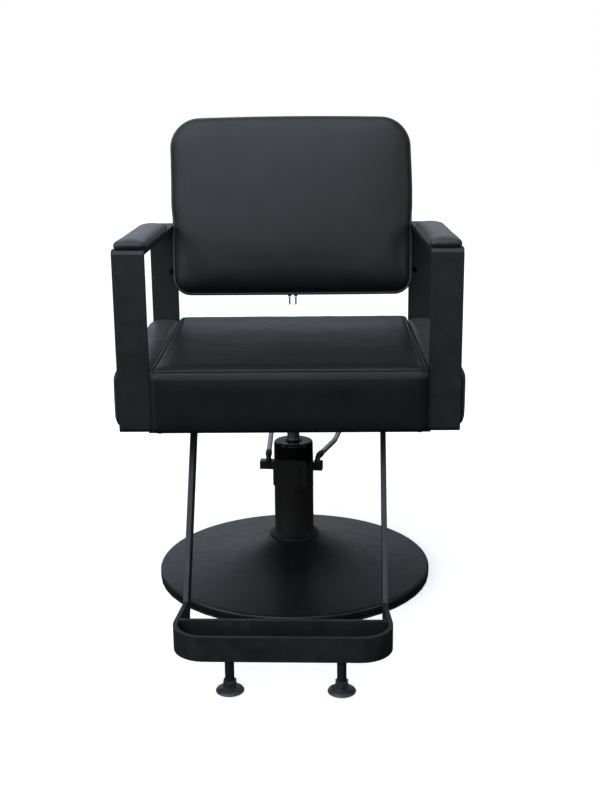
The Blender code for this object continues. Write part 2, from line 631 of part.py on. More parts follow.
for side, s in (("left", -1), ("right", 1)):
    xa, xb = sorted((s * 0.2120, s * 0.3120))
    bracket = box("back_bracket_" + side, (xa, ARM_Y1 + GAP, 0.6160),
                  (xb, ARM_Y1 + GAP + 0.006, 0.6810), POWDER, parent=seat_frame)
    rear = -BACK_T - GAP - BACK_BOARD_T - GAP
    xa, xb = sorted((s * 0.1500, s * 0.2360))
    weld_box(bracket, (xa, 0.0180, rear - 0.006), (xb, 0.0600, rear), parent=back_frame)
    xa, xb = sorted((s * 0.2120, s * 0.2360))
    weld_box(bracket, (xa, 0.0270, rear - 0.0465), (xb, 0.0490, rear - 0.003),
             parent=back_frame)
    bx = s * BACK_BOLT_X
    drill(bracket, 0.0044, (bx, ARM_Y1 - 0.01, BACK_BOLT_Z),
          (bx, ARM_Y1 + 0.03, BACK_BOLT_Z), parent=seat_frame)

# ---------------------------------------------------------------- footrest
foot_frame = empty("foot_frame", location=(0, FOOT_PIVOT_Y, 0), rotation=(0, 0, FOOT_SKEW),
                   parent=seat_frame)
FOOT = Vector((0, -FOOT_PIVOT_Y, 0))          # foot_frame coordinates of the pump axis

# the sides spread towards the front bar: unit vectors along a side and across it
side_run = Vector((FOOT_HALF - FOOT_REAR_HALF, FOOT_Y0 - FOOT_Y1)).normalized()


def half_outline(inset, radius):
    """Right half of the bent bar's edge, from the rear end to the front bar."""
    # corner centre: radius away from both the front face and the side face
    cy = FOOT_Y0 + FOOT_R
    nx, ny = -side_run.y, side_run.x          # outward normal of the side, x positive
    off = (cy - FOOT_Y1) * ny
    cx = FOOT_REAR_HALF + (-FOOT_R - off) / nx
    ends = arc(cx, cy, radius, math.degrees(math.atan2(ny, nx)), -90, 8)
    rear = (FOOT_REAR_HALF - inset / nx, FOOT_Y1)
    return [rear] + ends


o_half = half_outline(0.0, FOOT_R)
i_half = half_outline(FOOT_T, FOOT_R - FOOT_T)
u_path = (o_half + [(-x, y) for x, y in reversed(o_half)]
          + [(-x, y) for x, y in i_half] + list(reversed(i_half)))
u_path = [(x, y - FOOT_PIVOT_Y) for x, y in u_path]
foot = outline("footrest_bar", [u_path], FOOT_Z1 - FOOT_Z0, POWDER,
               location=(0, 0, (FOOT_Z0 + FOOT_Z1) / 2), parent=foot_frame)
for s in (-1, 1):
    weld_rod(foot, NUT_R, FOOT + Vector((s * GLIDE_X + GLIDE_MID, GLIDE_Y, NUT_Z0)),
             FOOT + Vector((s * GLIDE_X + GLIDE_MID, GLIDE_Y, NUT_Z1)), sides=20, parent=foot_frame)
for s in (-1, 1):
    drill(foot, STEM_R + 0.0004, FOOT + Vector((s * GLIDE_X + GLIDE_MID, GLIDE_Y, FOOT_Z0 - 0.01)),
          FOOT + Vector((s * GLIDE_X + GLIDE_MID, GLIDE_Y, FOOT_Z1 + 0.01)), sides=20,
          parent=foot_frame)

# the crossbar's ends follow the spread sides
cross = []
for dy in (-FOOT_T / 2, FOOT_T / 2):
    x = (FOOT_REAR_HALF - (FOOT_T + GAP) / -side_run.y
         + (FOOT_Y1 - CROSS_Y - dy) * side_run.x / -side_run.y)
    cross.append((x, CROSS_Y + dy - FOOT_PIVOT_Y))
cross += [(-x, y) for x, y in reversed(cross)]
outline("footrest_crossbar", [cross], FOOT_Z1 - CROSS_Z0, POWDER,
        location=(0, 0, (FOOT_Z1 + CROSS_Z0) / 2), parent=foot_frame)

tan_s, cos_s = math.tan(HANGER_SLANT), math.cos(HANGER_SLANT)
reach = HANGER_W / cos_s                      # hanger's depth measured along Y
plate_top = BOARD_Z0 - GAP
hang_top = plate_top - 0.003


def front_edge(z):
    """Y of the hanger's front edge at height z."""
    return FOOT_Y1 + GAP + (z - FOOT_Z1) * tan_s


for side, s in (("left", -1), ("right", 1)):
    prof = [(front_edge(FOOT_Z1), FOOT_Z0), (front_edge(FOOT_Z0) + reach, FOOT_Z0),
            (front_edge(hang_top) + reach, hang_top), (front_edge(hang_top), hang_top),
            (front_edge(FOOT_Z1), FOOT_Z1)]
    hanger = outline("footrest_hanger_" + side, [prof], HANGER_T, POWDER,
                     location=FOOT + Vector((s * (FOOT_REAR_HALF - FOOT_T + HANGER_T / 2), 0, 0)),
                     rotation=(math.pi / 2, 0, math.pi / 2), parent=foot_frame)
    px0, px1, py0, py1 = HANGER_PLATE
    xa, xb = sorted((s * px0, s * px1))
    weld_box(hanger, FOOT + Vector((xa, py0, plate_top - 0.006)),
             FOOT + Vector((xb, py1, plate_top)), parent=foot_frame)
    at = FOOT + Vector((s * 0.1740, -0.1800, 0))
    bolt_up("hanger_bolt_" + side, at.x, at.y, plate_top - 0.006, (hanger, board),
            parent=foot_frame)

# ---------------------------------------------------------------- footrest glides
for side, s in (("left", -1), ("right", 1)):
    g = empty("glide_frame_" + side, location=FOOT + Vector((s * GLIDE_X + GLIDE_MID, GLIDE_Y, 0)),
              parent=foot_frame)
    turned("glide_stem_" + side, [
        (0.0, STEM_Z1), (STEM_R - 0.001, STEM_Z1), (STEM_R, STEM_Z1 - 0.001),
        (STEM_R, GLIDE_Z1 + GAP), (0.0, GLIDE_Z1 + GAP)], STEEL, steps=20, parent=g)
    pad = turned("glide_pad_" + side, [
        (0.0, GLIDE_FLOOR + 0.0068), (GLIDE_HUB_R + 0.0006, GLIDE_FLOOR + 0.0066),
        (GLIDE_R - 0.0082, GLIDE_FLOOR + 0.0061), (GLIDE_R - 0.0042, GLIDE_FLOOR + 0.0050),
        (GLIDE_R - 0.0014, GLIDE_FLOOR + 0.0034), (GLIDE_R - 0.0002, GLIDE_FLOOR + 0.0018),
        (GLIDE_R, GLIDE_FLOOR + 0.0008), (GLIDE_R - 0.0008, GLIDE_FLOOR),
        (0.0, GLIDE_FLOOR)], RUBBER, steps=28, parent=g)
    weld_rod(pad, GLIDE_HUB_R, (0, 0, GLIDE_FLOOR + 0.0040), (0, 0, GLIDE_Z1), sides=6,
             parent=g)

# ---------------------------------------------------------------- zip pulls
for side, s in (("left", -1), ("right", 1)):
    z = empty("zip_frame_" + side, location=(s * ZIP_X, ZIP_Y, ZIP_Z), parent=seat_frame)
    pull = outline("zip_pull_" + side, [
        rounded_rect(-ZIP_W / 2, ZIP_W / 2, -ZIP_LEN, 0.0006, ZIP_W * 0.35, 3)],
        ZIP_T, ZINC, rotation=(math.pi / 2, 0, 0), parent=z)
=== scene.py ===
"""Looks of the hairdressing chair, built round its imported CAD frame."""

import math

import bmesh
import bpy
import numpy as np
from mathutils import Matrix, Vector
from mathutils import noise as perlin


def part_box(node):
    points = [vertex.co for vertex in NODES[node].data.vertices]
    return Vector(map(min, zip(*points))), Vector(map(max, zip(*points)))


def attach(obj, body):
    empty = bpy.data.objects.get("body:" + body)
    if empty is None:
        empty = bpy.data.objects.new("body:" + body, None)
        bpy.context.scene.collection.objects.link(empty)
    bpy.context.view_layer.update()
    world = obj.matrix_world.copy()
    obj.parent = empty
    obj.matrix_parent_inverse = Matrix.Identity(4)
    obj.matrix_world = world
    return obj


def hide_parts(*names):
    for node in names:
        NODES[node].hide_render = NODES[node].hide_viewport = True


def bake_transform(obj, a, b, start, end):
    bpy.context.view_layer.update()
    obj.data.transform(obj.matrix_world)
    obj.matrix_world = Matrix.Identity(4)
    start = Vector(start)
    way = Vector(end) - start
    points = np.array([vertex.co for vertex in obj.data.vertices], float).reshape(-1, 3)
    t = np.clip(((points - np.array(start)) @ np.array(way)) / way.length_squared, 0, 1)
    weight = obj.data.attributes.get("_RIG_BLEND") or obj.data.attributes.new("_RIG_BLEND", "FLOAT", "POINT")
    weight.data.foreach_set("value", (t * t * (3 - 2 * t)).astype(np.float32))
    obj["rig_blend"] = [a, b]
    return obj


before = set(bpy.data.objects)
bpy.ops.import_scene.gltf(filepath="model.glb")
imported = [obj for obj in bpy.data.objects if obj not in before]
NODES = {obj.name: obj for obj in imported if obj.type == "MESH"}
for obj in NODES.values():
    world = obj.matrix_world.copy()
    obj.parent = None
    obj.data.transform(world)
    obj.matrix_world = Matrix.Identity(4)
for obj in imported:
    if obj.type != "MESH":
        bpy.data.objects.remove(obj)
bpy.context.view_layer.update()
SCENE = bpy.context.scene


# ====================================================================== materials
class Paint:
    """A procedural material under construction; every helper returns an output socket."""

    def __init__(self, name):
        self.mat = bpy.data.materials.new(name)
        self.mat.use_nodes = True
        self.tree = self.mat.node_tree
        self.tree.nodes.clear()
        self.bsdf = self.node("ShaderNodeBsdfPrincipled")
        out = self.node("ShaderNodeOutputMaterial")
        self.tree.links.new(self.bsdf.outputs[0], out.inputs["Surface"])
        self.place = self.node("ShaderNodeTexCoord").outputs["Object"]

    def node(self, kind, **props):
        n = self.tree.nodes.new(kind)
        for key, value in props.items():
            setattr(n, key, value)
        return n

    def feed(self, socket, value):
        if isinstance(value, bpy.types.NodeSocket):
            self.tree.links.new(value, socket)
        elif isinstance(value, tuple) and len(value) == 3 and socket.type == "RGBA":
            socket.default_value = (*value, 1.0)
        else:
            socket.default_value = value

    def set(self, **sockets):
        for key, value in sockets.items():
            self.feed(self.bsdf.inputs[key.replace("_", " ")], value)
        return self

    def stretch(self, x, y, z, turn=(0, 0, 0)):
        n = self.node("ShaderNodeMapping")
        self.feed(n.inputs["Vector"], self.place)
        n.inputs["Scale"].default_value = (x, y, z)
        n.inputs["Rotation"].default_value = turn
        return n.outputs[0]

    def noise(self, scale, detail=2.0, rough=0.5, at=None, distortion=0.0):
        n = self.node("ShaderNodeTexNoise")
        self.feed(n.inputs["Vector"], at or self.place)
        n.inputs["Scale"].default_value = scale
        n.inputs["Detail"].default_value = detail
        n.inputs["Roughness"].default_value = rough
        n.inputs["Distortion"].default_value = distortion
        return n.outputs[0]

    def cells(self, scale, feature="F1", at=None, randomness=1.0):
        n = self.node("ShaderNodeTexVoronoi", feature=feature)
        self.feed(n.inputs["Vector"], at or self.place)
        n.inputs["Scale"].default_value = scale
        n.inputs["Randomness"].default_value = randomness
        return n.outputs["Distance"]

    def axis(self, which):
        n = self.node("ShaderNodeSeparateXYZ")
        self.feed(n.inputs[0], self.place)
        return n.outputs[which]

    def ramp(self, fac, *stops, ease="LINEAR"):
        """stops: (position, grey or colour)."""
        n = self.node("ShaderNodeValToRGB")
        n.color_ramp.interpolation = ease
        self.feed(n.inputs[0], fac)
        e = n.color_ramp.elements
        while len(e) > 1:
            e.remove(e[-1])
        for k, (pos, value) in enumerate(stops):
            item = e[0] if k == 0 else e.new(pos)
            item.position = pos
            item.color = (*value, 1) if isinstance(value, tuple) else (value, value, value, 1)
        return n.outputs[0]

    def span(self, fac, a, b, lo=0.0, hi=1.0):
        """Maps a..b to lo..hi, clamped."""
        n = self.node("ShaderNodeMapRange")
        self.feed(n.inputs["Value"], fac)
        n.inputs["From Min"].default_value = a
        n.inputs["From Max"].default_value = b
        n.inputs["To Min"].default_value = lo
        n.inputs["To Max"].default_value = hi
        return n.outputs[0]

    def math(self, op, a, b=None):
        n = self.node("ShaderNodeMath", operation=op)
        self.feed(n.inputs[0], a)
        if b is not None:
            self.feed(n.inputs[1], b)
        return n.outputs[0]

    def tint(self, fac, a, b, how="MIX"):
        n = self.node("ShaderNodeMix", data_type="RGBA", blend_type=how)
        self.feed(n.inputs[0], fac)
        self.feed(n.inputs[6], a)
        self.feed(n.inputs[7], b)
        return n.outputs[2]

    def bump(self, height, strength, distance, under=None):
        n = self.node("ShaderNodeBump")
        self.feed(n.inputs["Height"], height)
        n.inputs["Strength"].default_value = strength
        n.inputs["Distance"].default_value = distance
        if under is not None:
            self.feed(n.inputs["Normal"], under)
        return n.outputs[0]


def leatherette(name, dark, light, rough, grain=1.0, level=0.42, bloom=0.02):
    """Black imitation leather: pebble grain, faint creases, uneven sheen."""
    p = Paint(name)
    bent = p.node("ShaderNodeVectorMath", operation="ADD")
    p.feed(bent.inputs[0], p.place)
    shift = p.node("ShaderNodeTexNoise")
    p.feed(shift.inputs["Vector"], p.place)
    shift.inputs["Scale"].default_value = 420
    small = p.node("ShaderNodeVectorMath", operation="SCALE")
    p.feed(small.inputs[0], shift.outputs[1])
    small.inputs["Scale"].default_value = 0.0011
    p.feed(bent.inputs[1], small.outputs[0])
    at = bent.outputs[0]
    pebble = p.cells(760, "DISTANCE_TO_EDGE", at)
    pebble = p.ramp(pebble, (0.0, 0.0), (0.16, 0.75), (0.45, 1.0), ease="EASE")
    broad = p.noise(60, 3)
    soft = p.noise(11, 3, 0.55)
    fine = p.noise(1500, 2)
    height = p.math("ADD", pebble, p.math("MULTIPLY", fine, 0.35))
    n = p.bump(p.noise(95, 3, 0.6), 0.05, 0.0012)
    n = p.bump(height, 0.42 * grain, 0.00016, n)
    tone = p.math("ADD", p.math("MULTIPLY", soft, 0.55), p.math("MULTIPLY", broad, 0.45))
    colour = p.tint(p.span(tone, 0.34, 0.66), dark, light)
    colour = p.tint(p.span(pebble, 0.0, 0.5, 0.35, 0.0), colour, (0.004, 0.004, 0.005))
    p.set(Base_Color=colour, Roughness=p.span(tone, 0.3, 0.7, rough[0], rough[1]), Normal=n,
          Specular_IOR_Level=level, Sheen_Weight=bloom, Sheen_Roughness=0.4)
    return p.mat


def powder(name, colour, rough, wear=0.0, peel=0.5, level=0.5, speck=0.25):
    """Powder coat or paint: orange peel, faint dust and rubbed places."""
    p = Paint(name)
    skin = p.noise(1150, 2, 0.5)
    wave = p.noise(210, 2, 0.5)
    n = p.bump(p.math("ADD", skin, p.math("MULTIPLY", wave, 0.8)), 0.16 * peel, 0.00022)
    cloud = p.noise(16, 4, 0.6)
    dots = p.cells(520, "F1")
    lighter = tuple(c * 1.55 + 0.002 for c in colour)
    tone = p.tint(p.span(cloud, 0.32, 0.70), colour, lighter)
    tone = p.tint(p.span(dots, 0.02, 0.10, speck, 0.0), tone, (0.05, 0.05, 0.05))
    rub = p.span(p.noise(38, 5, 0.65), 0.40, 0.72)
    shine = p.span(p.math("ADD", p.math("MULTIPLY", rub, 0.7), p.math("MULTIPLY", cloud, 0.3)),
                   0.2, 0.8, rough[0], rough[1])
    if wear:
        scuff = p.noise(9, 6, 0.7, p.stretch(4.0, 26.0, 26.0))
        scuff = p.span(scuff, 0.60, 0.74, 0.0, wear)
        tone = p.tint(scuff, tone, (0.055, 0.056, 0.058))
    p.set(Base_Color=tone, Roughness=shine, Normal=n, Specular_IOR_Level=level)
    return p.mat


def metal(name, colour, rough, brush=(1, 1, 1), tarnish=0.3, bump=0.05):
    """Bare or plated metal with lines along its length and clouded tarnish."""
    p = Paint(name)
    line = p.noise(90, 3, 0.6, p.stretch(*brush))
    cloud = p.noise(34, 4, 0.6)
    dull = tuple(c * (1 - tarnish) for c in colour)
    tone = p.tint(p.span(cloud, 0.35, 0.68), colour, dull)
    tone = p.tint(p.span(line, 0.45, 0.75, 0.0, 0.35), tone, tuple(c * 0.55 for c in colour))
    p.set(Base_Color=tone, Metallic=1.0,
          Roughness=p.span(p.math("ADD", line, cloud), 0.7, 1.3, rough[0], rough[1]),
          Normal=p.bump(line, bump, 0.0002))
    return p.mat


def rubber(name, colour, rough, ribs=0.0, level=0.4):
    p = Paint(name)
    grain = p.noise(900, 3, 0.6)
    dust = p.noise(24, 5, 0.62)
    n = p.bump(grain, 0.12, 0.0002)
    if ribs:
        wave = p.node("ShaderNodeTexWave", wave_type="BANDS", bands_direction="X")
        p.feed(wave.inputs["Vector"], p.place)
        wave.inputs["Scale"].default_value = ribs
        n = p.bump(wave.outputs[1], 0.7, 0.0008, n)
    tone = p.tint(p.span(dust, 0.42, 0.74, 0.0, 0.6), colour, tuple(c * 2.4 + 0.004 for c in colour))
    p.set(Base_Color=tone, Roughness=p.span(dust, 0.3, 0.7, rough[0], rough[1]), Normal=n,
          Specular_IOR_Level=level)
    return p.mat


def plywood(name):
    """Birch board: long grain on the faces, plies where its thickness shows."""
    p = Paint(name)
    grain = p.noise(30, 5, 0.62, p.stretch(9.0, 1.0, 2.0), 0.6)
    face = p.ramp(grain, (0.25, (0.30, 0.19, 0.095)), (0.5, (0.43, 0.29, 0.155)),
                  (0.75, (0.50, 0.36, 0.21)))
    ply = p.node("ShaderNodeTexWave", wave_type="BANDS", bands_direction="Z")
    p.feed(ply.inputs["Vector"], p.place)
    ply.inputs["Scale"].default_value = 95
    ply.inputs["Distortion"].default_value = 0.6
    tone = p.tint(p.span(ply.outputs[1], 0.35, 0.65, 0.0, 0.35), face, (0.20, 0.12, 0.06))
    p.set(Base_Color=tone, Roughness=p.span(grain, 0.2, 0.8, 0.55, 0.75),
          Normal=p.bump(grain, 0.25, 0.0004))
    return p.mat


LEATHER = leatherette("leatherette_black", (0.0036, 0.0038, 0.0040), (0.0060, 0.0063, 0.0066),
                      (0.36, 0.46))
# the seat's cover: a darker copy of the same leatherette; its darker colour is painted shade for the seat's dimmer
# light
LEATHER_SEAT_SHADED = leatherette("leatherette_seat_painted_shade", (0.0026, 0.0028, 0.0026), (0.0044, 0.0047, 0.0044),
                           (0.36, 0.46), level=0.32, bloom=0.0)
LEATHER_PANEL = leatherette("leatherette_panel", (0.0036, 0.0038, 0.0040), (0.0060, 0.0063, 0.0066),
                            (0.36, 0.46), bloom=0.10)
# the arm pads' cover: a lighter copy of the leatherette; the lighter colour is painted light for the pads' bright tops,
# the smoother, shinier finish is wear
LEATHER_PAD_LIT = leatherette("leatherette_worn_painted_light", (0.0066, 0.0070, 0.0074), (0.0105, 0.0110, 0.0115),
                          (0.30, 0.40), level=0.50, bloom=0.15)
# the backrest's piping: a much lighter copy of the leatherette; its light colour is a painted highlight for the light
# its rolled edge catches
LEATHER_EDGE_LIT = leatherette("leatherette_piping_painted_highlight", (0.0260, 0.0265, 0.0270), (0.0360, 0.0365, 0.0370),
                           (0.26, 0.36), 0.7)
THREAD = leatherette("thread_black", (0.004, 0.004, 0.0045), (0.009, 0.009, 0.0095), (0.60, 0.75), 0.5)
COAT = powder("powder_coat_black", (0.0050, 0.0053, 0.0058), (0.40, 0.54), level=0.44, speck=0.10)
COAT_WORN = powder("powder_coat_footrest", (0.0066, 0.0069, 0.0073), (0.36, 0.52), wear=0.55, speck=0.12)
PUMP = powder("pump_paint", (0.0060, 0.0063, 0.0046), (0.30, 0.33), peel=0.06, level=0.42, speck=0.0)
BASE = powder("base_paint_satin", (0.0036, 0.0038, 0.0040), (0.32, 0.40), peel=0.30, level=0.32, speck=0.05)
GLOSS = powder("gloss_black", (0.0014, 0.0016, 0.0013), (0.12, 0.18), peel=0.10, level=0.11, speck=0.0)
STEEL = metal("steel_rod", (0.36, 0.36, 0.35), (0.20, 0.34), (14, 14, 1), 0.35)
CHROME_FULL = metal("chrome_plain", (0.62, 0.62, 0.63), (0.07, 0.15), (1, 6, 6), 0.2, 0.02)
ZINC = metal("zinc_plate", (0.50, 0.50, 0.48), (0.26, 0.42), (3, 3, 3), 0.35, 0.06)
BLACK_ZIP = powder("zip_black", (0.0030, 0.0030, 0.0032), (0.40, 0.52), level=0.30, speck=0.0)
DARK_STEEL = metal("blackened_steel", (0.030, 0.030, 0.031), (0.42, 0.55), (8, 8, 1), 0.4)
RUBBER = rubber("rubber_black", (0.011, 0.011, 0.0115), (0.42, 0.60))
RUBBER_RIB = rubber("rubber_ribbed", (0.011, 0.011, 0.0115), (0.45, 0.62), ribs=32)
PAD = rubber("glide_plastic", (0.0205, 0.0205, 0.0210), (0.22, 0.34), level=0.5)
COLLAR = rubber("collar_plastic", (0.0030, 0.0032, 0.0031), (0.40, 0.52), level=0.18)
WOOD = plywood("plywood_board")


def fork_chrome():
    """Chromed rod whose front end, by the shaft, was dipped in black paint."""
    p = Paint("chrome_fork")
    line = p.noise(90, 3, 0.6, p.stretch(8, 1, 8))
    cloud = p.noise(40, 4, 0.6)
    bright = p.tint(p.span(cloud, 0.35, 0.7), (0.40, 0.40, 0.40), (0.30, 0.30, 0.31))
    bright = p.tint(p.span(line, 0.5, 0.8, 0.0, 0.3), bright, (0.20, 0.20, 0.20))
    edge = p.math("ADD", p.axis("Y"), p.math("MULTIPLY", p.noise(160, 3), 0.004))
    painted = p.span(edge, FORK_PAINT - 0.0012, FORK_PAINT + 0.0012, 1.0, 0.0)
    p.set(Base_Color=p.tint(painted, bright, (0.010, 0.010, 0.011)),
          Metallic=p.math("SUBTRACT", 1.0, painted),
          Roughness=p.math("ADD", p.span(cloud, 0.3, 0.7, 0.09, 0.17), p.math("MULTIPLY", painted, 0.25)),
          Normal=p.bump(line, 0.03, 0.0002))
    return p.mat


FORK_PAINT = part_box("pedal_collar_left")[1][1] - 0.004
CHROME = fork_chrome()


# ====================================================================== mesh helpers
def add_mesh(name, verts, faces, mat, smooth=True, fix_normals=False):
    me = bpy.data.meshes.new(name)
    me.from_pydata([tuple(map(float, v)) for v in verts], [], [tuple(map(int, f)) for f in faces])
    if fix_normals:
        bm = bmesh.new()
        bm.from_mesh(me)
        bmesh.ops.recalc_face_normals(bm, faces=bm.faces[:])
        bm.to_mesh(me)
        bm.free()
    me.update()
    if smooth:
        me.shade_smooth()
    me.materials.append(mat)
    ob = bpy.data.objects.new(name, me)
    SCENE.collection.objects.link(ob)
    return ob


def coords(ob):
    co = np.empty(len(ob.data.vertices) * 3)
    ob.data.vertices.foreach_get("co", co)
    return co.reshape(-1, 3)


def set_coords(ob, co):
    ob.data.vertices.foreach_set("co", np.ascontiguousarray(co, dtype=np.float32).ravel())
    ob.data.update()


def normals(ob):
    ob.data.update()
    no = np.empty(len(ob.data.vertices) * 3)
    ob.data.vertices.foreach_get("normal", no)
    return no.reshape(-1, 3)


def ease(x):
    x = np.clip(x, 0.0, 1.0)
    return x * x * (3 - 2 * x)


def wobble(co, scale, seed):
    """Smooth noise, about -0.5 to 0.5, at each point."""
    return np.array([perlin.noise(Vector((p[0] * scale + seed, p[1] * scale - seed * 0.7,
                                          p[2] * scale + seed * 1.3))) for p in co])


def side_points(side, t, hw, hh, rad):
    """Points on one side of a rounded rectangle, from the middle of a corner to the middle of the next."""
    sign = ((-1, -1), (1, -1), (1, 1), (-1, 1))
    a, b = side, (side + 1) % 4
    room = max(min(hw, hh), 0.0)
    ra, rb = min(rad[a], room), min(rad[b], room)
    start = math.radians((225, 315, 45, 135)[side])
    out = start + math.pi / 4
    ca = np.array([(hw - ra) * sign[a][0], (hh - ra) * sign[a][1]])
    cb = np.array([(hw - rb) * sign[b][0], (hh - rb) * sign[b][1]])
    away = np.array([math.cos(out), math.sin(out)])
    p0, p1 = ca + ra * away, cb + rb * away
    la, ls, lb = ra * math.pi / 4, float(np.linalg.norm(p1 - p0)), rb * math.pi / 4
    s = np.asarray(t) * (la + ls + lb)
    res = np.empty((len(s), 2))
    for k, d in enumerate(s):
        if d < la:
            ang = start + d / max(ra, 1e-9)
            res[k] = ca + ra * np.array([math.cos(ang), math.sin(ang)])
        elif d <= la + ls:
            res[k] = p0 + (p1 - p0) * ((d - la) / max(ls, 1e-9))
        else:
            ang = out + (d - la - ls) / max(rb, 1e-9)
            res[k] = cb + rb * np.array([math.cos(ang), math.sin(ang)])
    return res


def loop_points(n, m, spec):
    cx, cy, hw, hh, rad, dep = spec
    pts = np.vstack([side_points(s, np.arange(c) / c, hw, hh, rad)
                     for s, c in ((0, n), (1, m), (2, n), (3, m))])
    return np.column_stack([pts[:, 0] + cx, pts[:, 1] + cy, np.full(len(pts), dep)])


def cushion_mesh(n_u, n_v, rings, rows, close=True):
    """Quads inside ring 0 (rings go to the middle), then bands through rows, then a flat end.
    Returns points as (u, v, depth), faces, the grid of indices and the list of loops."""
    grid = -np.ones((n_u + 1, n_v + 1), int)
    verts, faces = [], []
    half = min(n_u, n_v) // 2
    for k in range(half + 1):
        n, m = n_u - 2 * k, n_v - 2 * k
        cx, cy, hw, hh, rad, dep = rings[k]
        if n > 0 and m > 0:
            pts = loop_points(n, m, rings[k])
            spots = ([(k + a, k) for a in range(n)] + [(n_u - k, k + b) for b in range(m)]
                     + [(n_u - k - a, n_v - k) for a in range(n)] + [(k, n_v - k - b) for b in range(m)])
        elif n == 0 and m == 0:
            pts, spots = [(cx, cy, dep)], [(k, k)]
        elif n == 0:
            pts = [(cx, cy - hh + 2 * hh * b / m, dep) for b in range(m + 1)]
            spots = [(k, k + b) for b in range(m + 1)]
        else:
            pts = [(cx - hw + 2 * hw * a / n, cy, dep) for a in range(n + 1)]
            spots = [(k + a, k) for a in range(n + 1)]
        for (i, j), p in zip(spots, pts):
            grid[i, j] = len(verts)
            verts.append(tuple(p))
    for i in range(n_u):
        for j in range(n_v):
            faces.append((grid[i, j], grid[i + 1, j], grid[i + 1, j + 1], grid[i, j + 1]))
    first = np.array([grid[a, 0] for a in range(n_u)] + [grid[n_u, b] for b in range(n_v)]
                     + [grid[n_u - a, n_v] for a in range(n_u)] + [grid[0, n_v - b] for b in range(n_v)])
    loops = [first]
    for spec in rows:
        start = len(verts)
        verts.extend(tuple(p) for p in loop_points(n_u, n_v, spec))
        loops.append(np.arange(start, len(verts)))
    count = len(first)
    for a, b in zip(loops[:-1], loops[1:]):
        for q in range(count):
            r = (q + 1) % count
            faces.append((a[r], a[q], b[q], b[r]))
    if close:
        faces.append(tuple(loops[-1][::-1]))
    return np.array(verts), faces, grid, loops


def inflate(ob, pin, pressure, cap, frames=20, stiff=12.0, bend=0.6):
    """Swells the free panels of a cushion between its pinned seams with a short cloth simulation."""
    base = coords(ob)
    group = ob.vertex_groups.new(name="seams")
    group.add([int(v) for v in pin], 1.0, "REPLACE")
    mod = ob.modifiers.new("stuffing", "CLOTH")
    s = mod.settings
    s.vertex_group_mass = "seams"
    s.quality = 6
    s.mass = 0.3
    s.tension_stiffness = s.compression_stiffness = stiff
    s.shear_stiffness = stiff * 0.5
    s.bending_stiffness = bend
    s.use_pressure = True
    s.uniform_pressure_force = pressure
    s.effector_weights.gravity = 0.0
    mod.point_cache.frame_start, mod.point_cache.frame_end = 1, frames
    for f in range(1, frames + 1):
        SCENE.frame_set(f)
    graph = bpy.context.evaluated_depsgraph_get()
    live = ob.evaluated_get(graph)
    me = live.to_mesh()
    co = np.empty(len(me.vertices) * 3)
    me.vertices.foreach_get("co", co)
    live.to_mesh_clear()
    ob.modifiers.remove(mod)
    ob.vertex_groups.remove(group)
    SCENE.frame_set(1)
    move = co.reshape(-1, 3) - base
    far = np.linalg.norm(move, axis=1, keepdims=True)
    print("inflate", ob.name, "moved up to %.4f" % far.max())
    set_coords(ob, base + move * (cap * np.tanh(far / cap) / np.maximum(far, 1e-9)))


def refine(ob, levels):
    mod = ob.modifiers.new("fine", "SUBSURF")
    mod.levels = mod.render_levels = 0 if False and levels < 2 else levels
    mod.use_limit_surface = False


def resample(pts, step, closed=False):
    pts = np.asarray(pts, float)
    if closed:
        pts = np.vstack([pts, pts[:1]])
    seg = np.linalg.norm(np.diff(pts, axis=0), axis=1)
    run = np.concatenate([[0], np.cumsum(seg)])
    count = max(2, int(round(run[-1] / step)) + 1)
    at = np.linspace(0, run[-1], count)
    res = np.column_stack([np.interp(at, run, pts[:, c]) for c in range(3)])
    return res[:-1] if closed else res


def tube(name, pts, radius, mat, sides=10, closed=False, caps=True):
    """Round bar along points; radius is a number or one per point."""
    pts = np.asarray(pts, float)
    n = len(pts)
    rad = np.broadcast_to(np.asarray(radius, float), (n,))
    if closed:
        tan = np.roll(pts, -1, 0) - np.roll(pts, 1, 0)
    else:
        tan = np.gradient(pts, axis=0)
    tan /= np.linalg.norm(tan, axis=1, keepdims=True)
    ref = np.array([0, 0, 1.0]) if abs(tan[0][2]) < 0.9 else np.array([1.0, 0, 0])
    side = np.cross(tan[0], ref)
    frames_ = []
    for k in range(n):
        side = side - tan[k] * side.dot(tan[k])
        side /= np.linalg.norm(side)
        frames_.append((side.copy(), np.cross(tan[k], side)))
    verts, faces = [], []
    for k in range(n):
        a, b = frames_[k]
        for q in range(sides):
            w = 2 * math.pi * q / sides
            verts.append(pts[k] + rad[k] * (math.cos(w) * a + math.sin(w) * b))
    last = n if closed else n - 1
    for k in range(last):
        nxt = (k + 1) % n
        for q in range(sides):
            r = (q + 1) % sides
            faces.append((k * sides + q, k * sides + r, nxt * sides + r, nxt * sides + q))
    if not closed and caps:
        faces.append(tuple(range(sides - 1, -1, -1)))
        faces.append(tuple(range((n - 1) * sides, n * sides)))
    return add_mesh(name, verts, faces, mat, fix_normals=True)


def many(name, parts, mat, smooth=True):
    """One object from many small closed meshes, each (points, faces)."""
    verts, faces = [], []
    for v, f in parts:
        base = len(verts)
        verts.extend(v)
        faces.extend(tuple(i + base for i in q) for q in f)
    return add_mesh(name, verts, faces, mat, smooth=smooth, fix_normals=True)


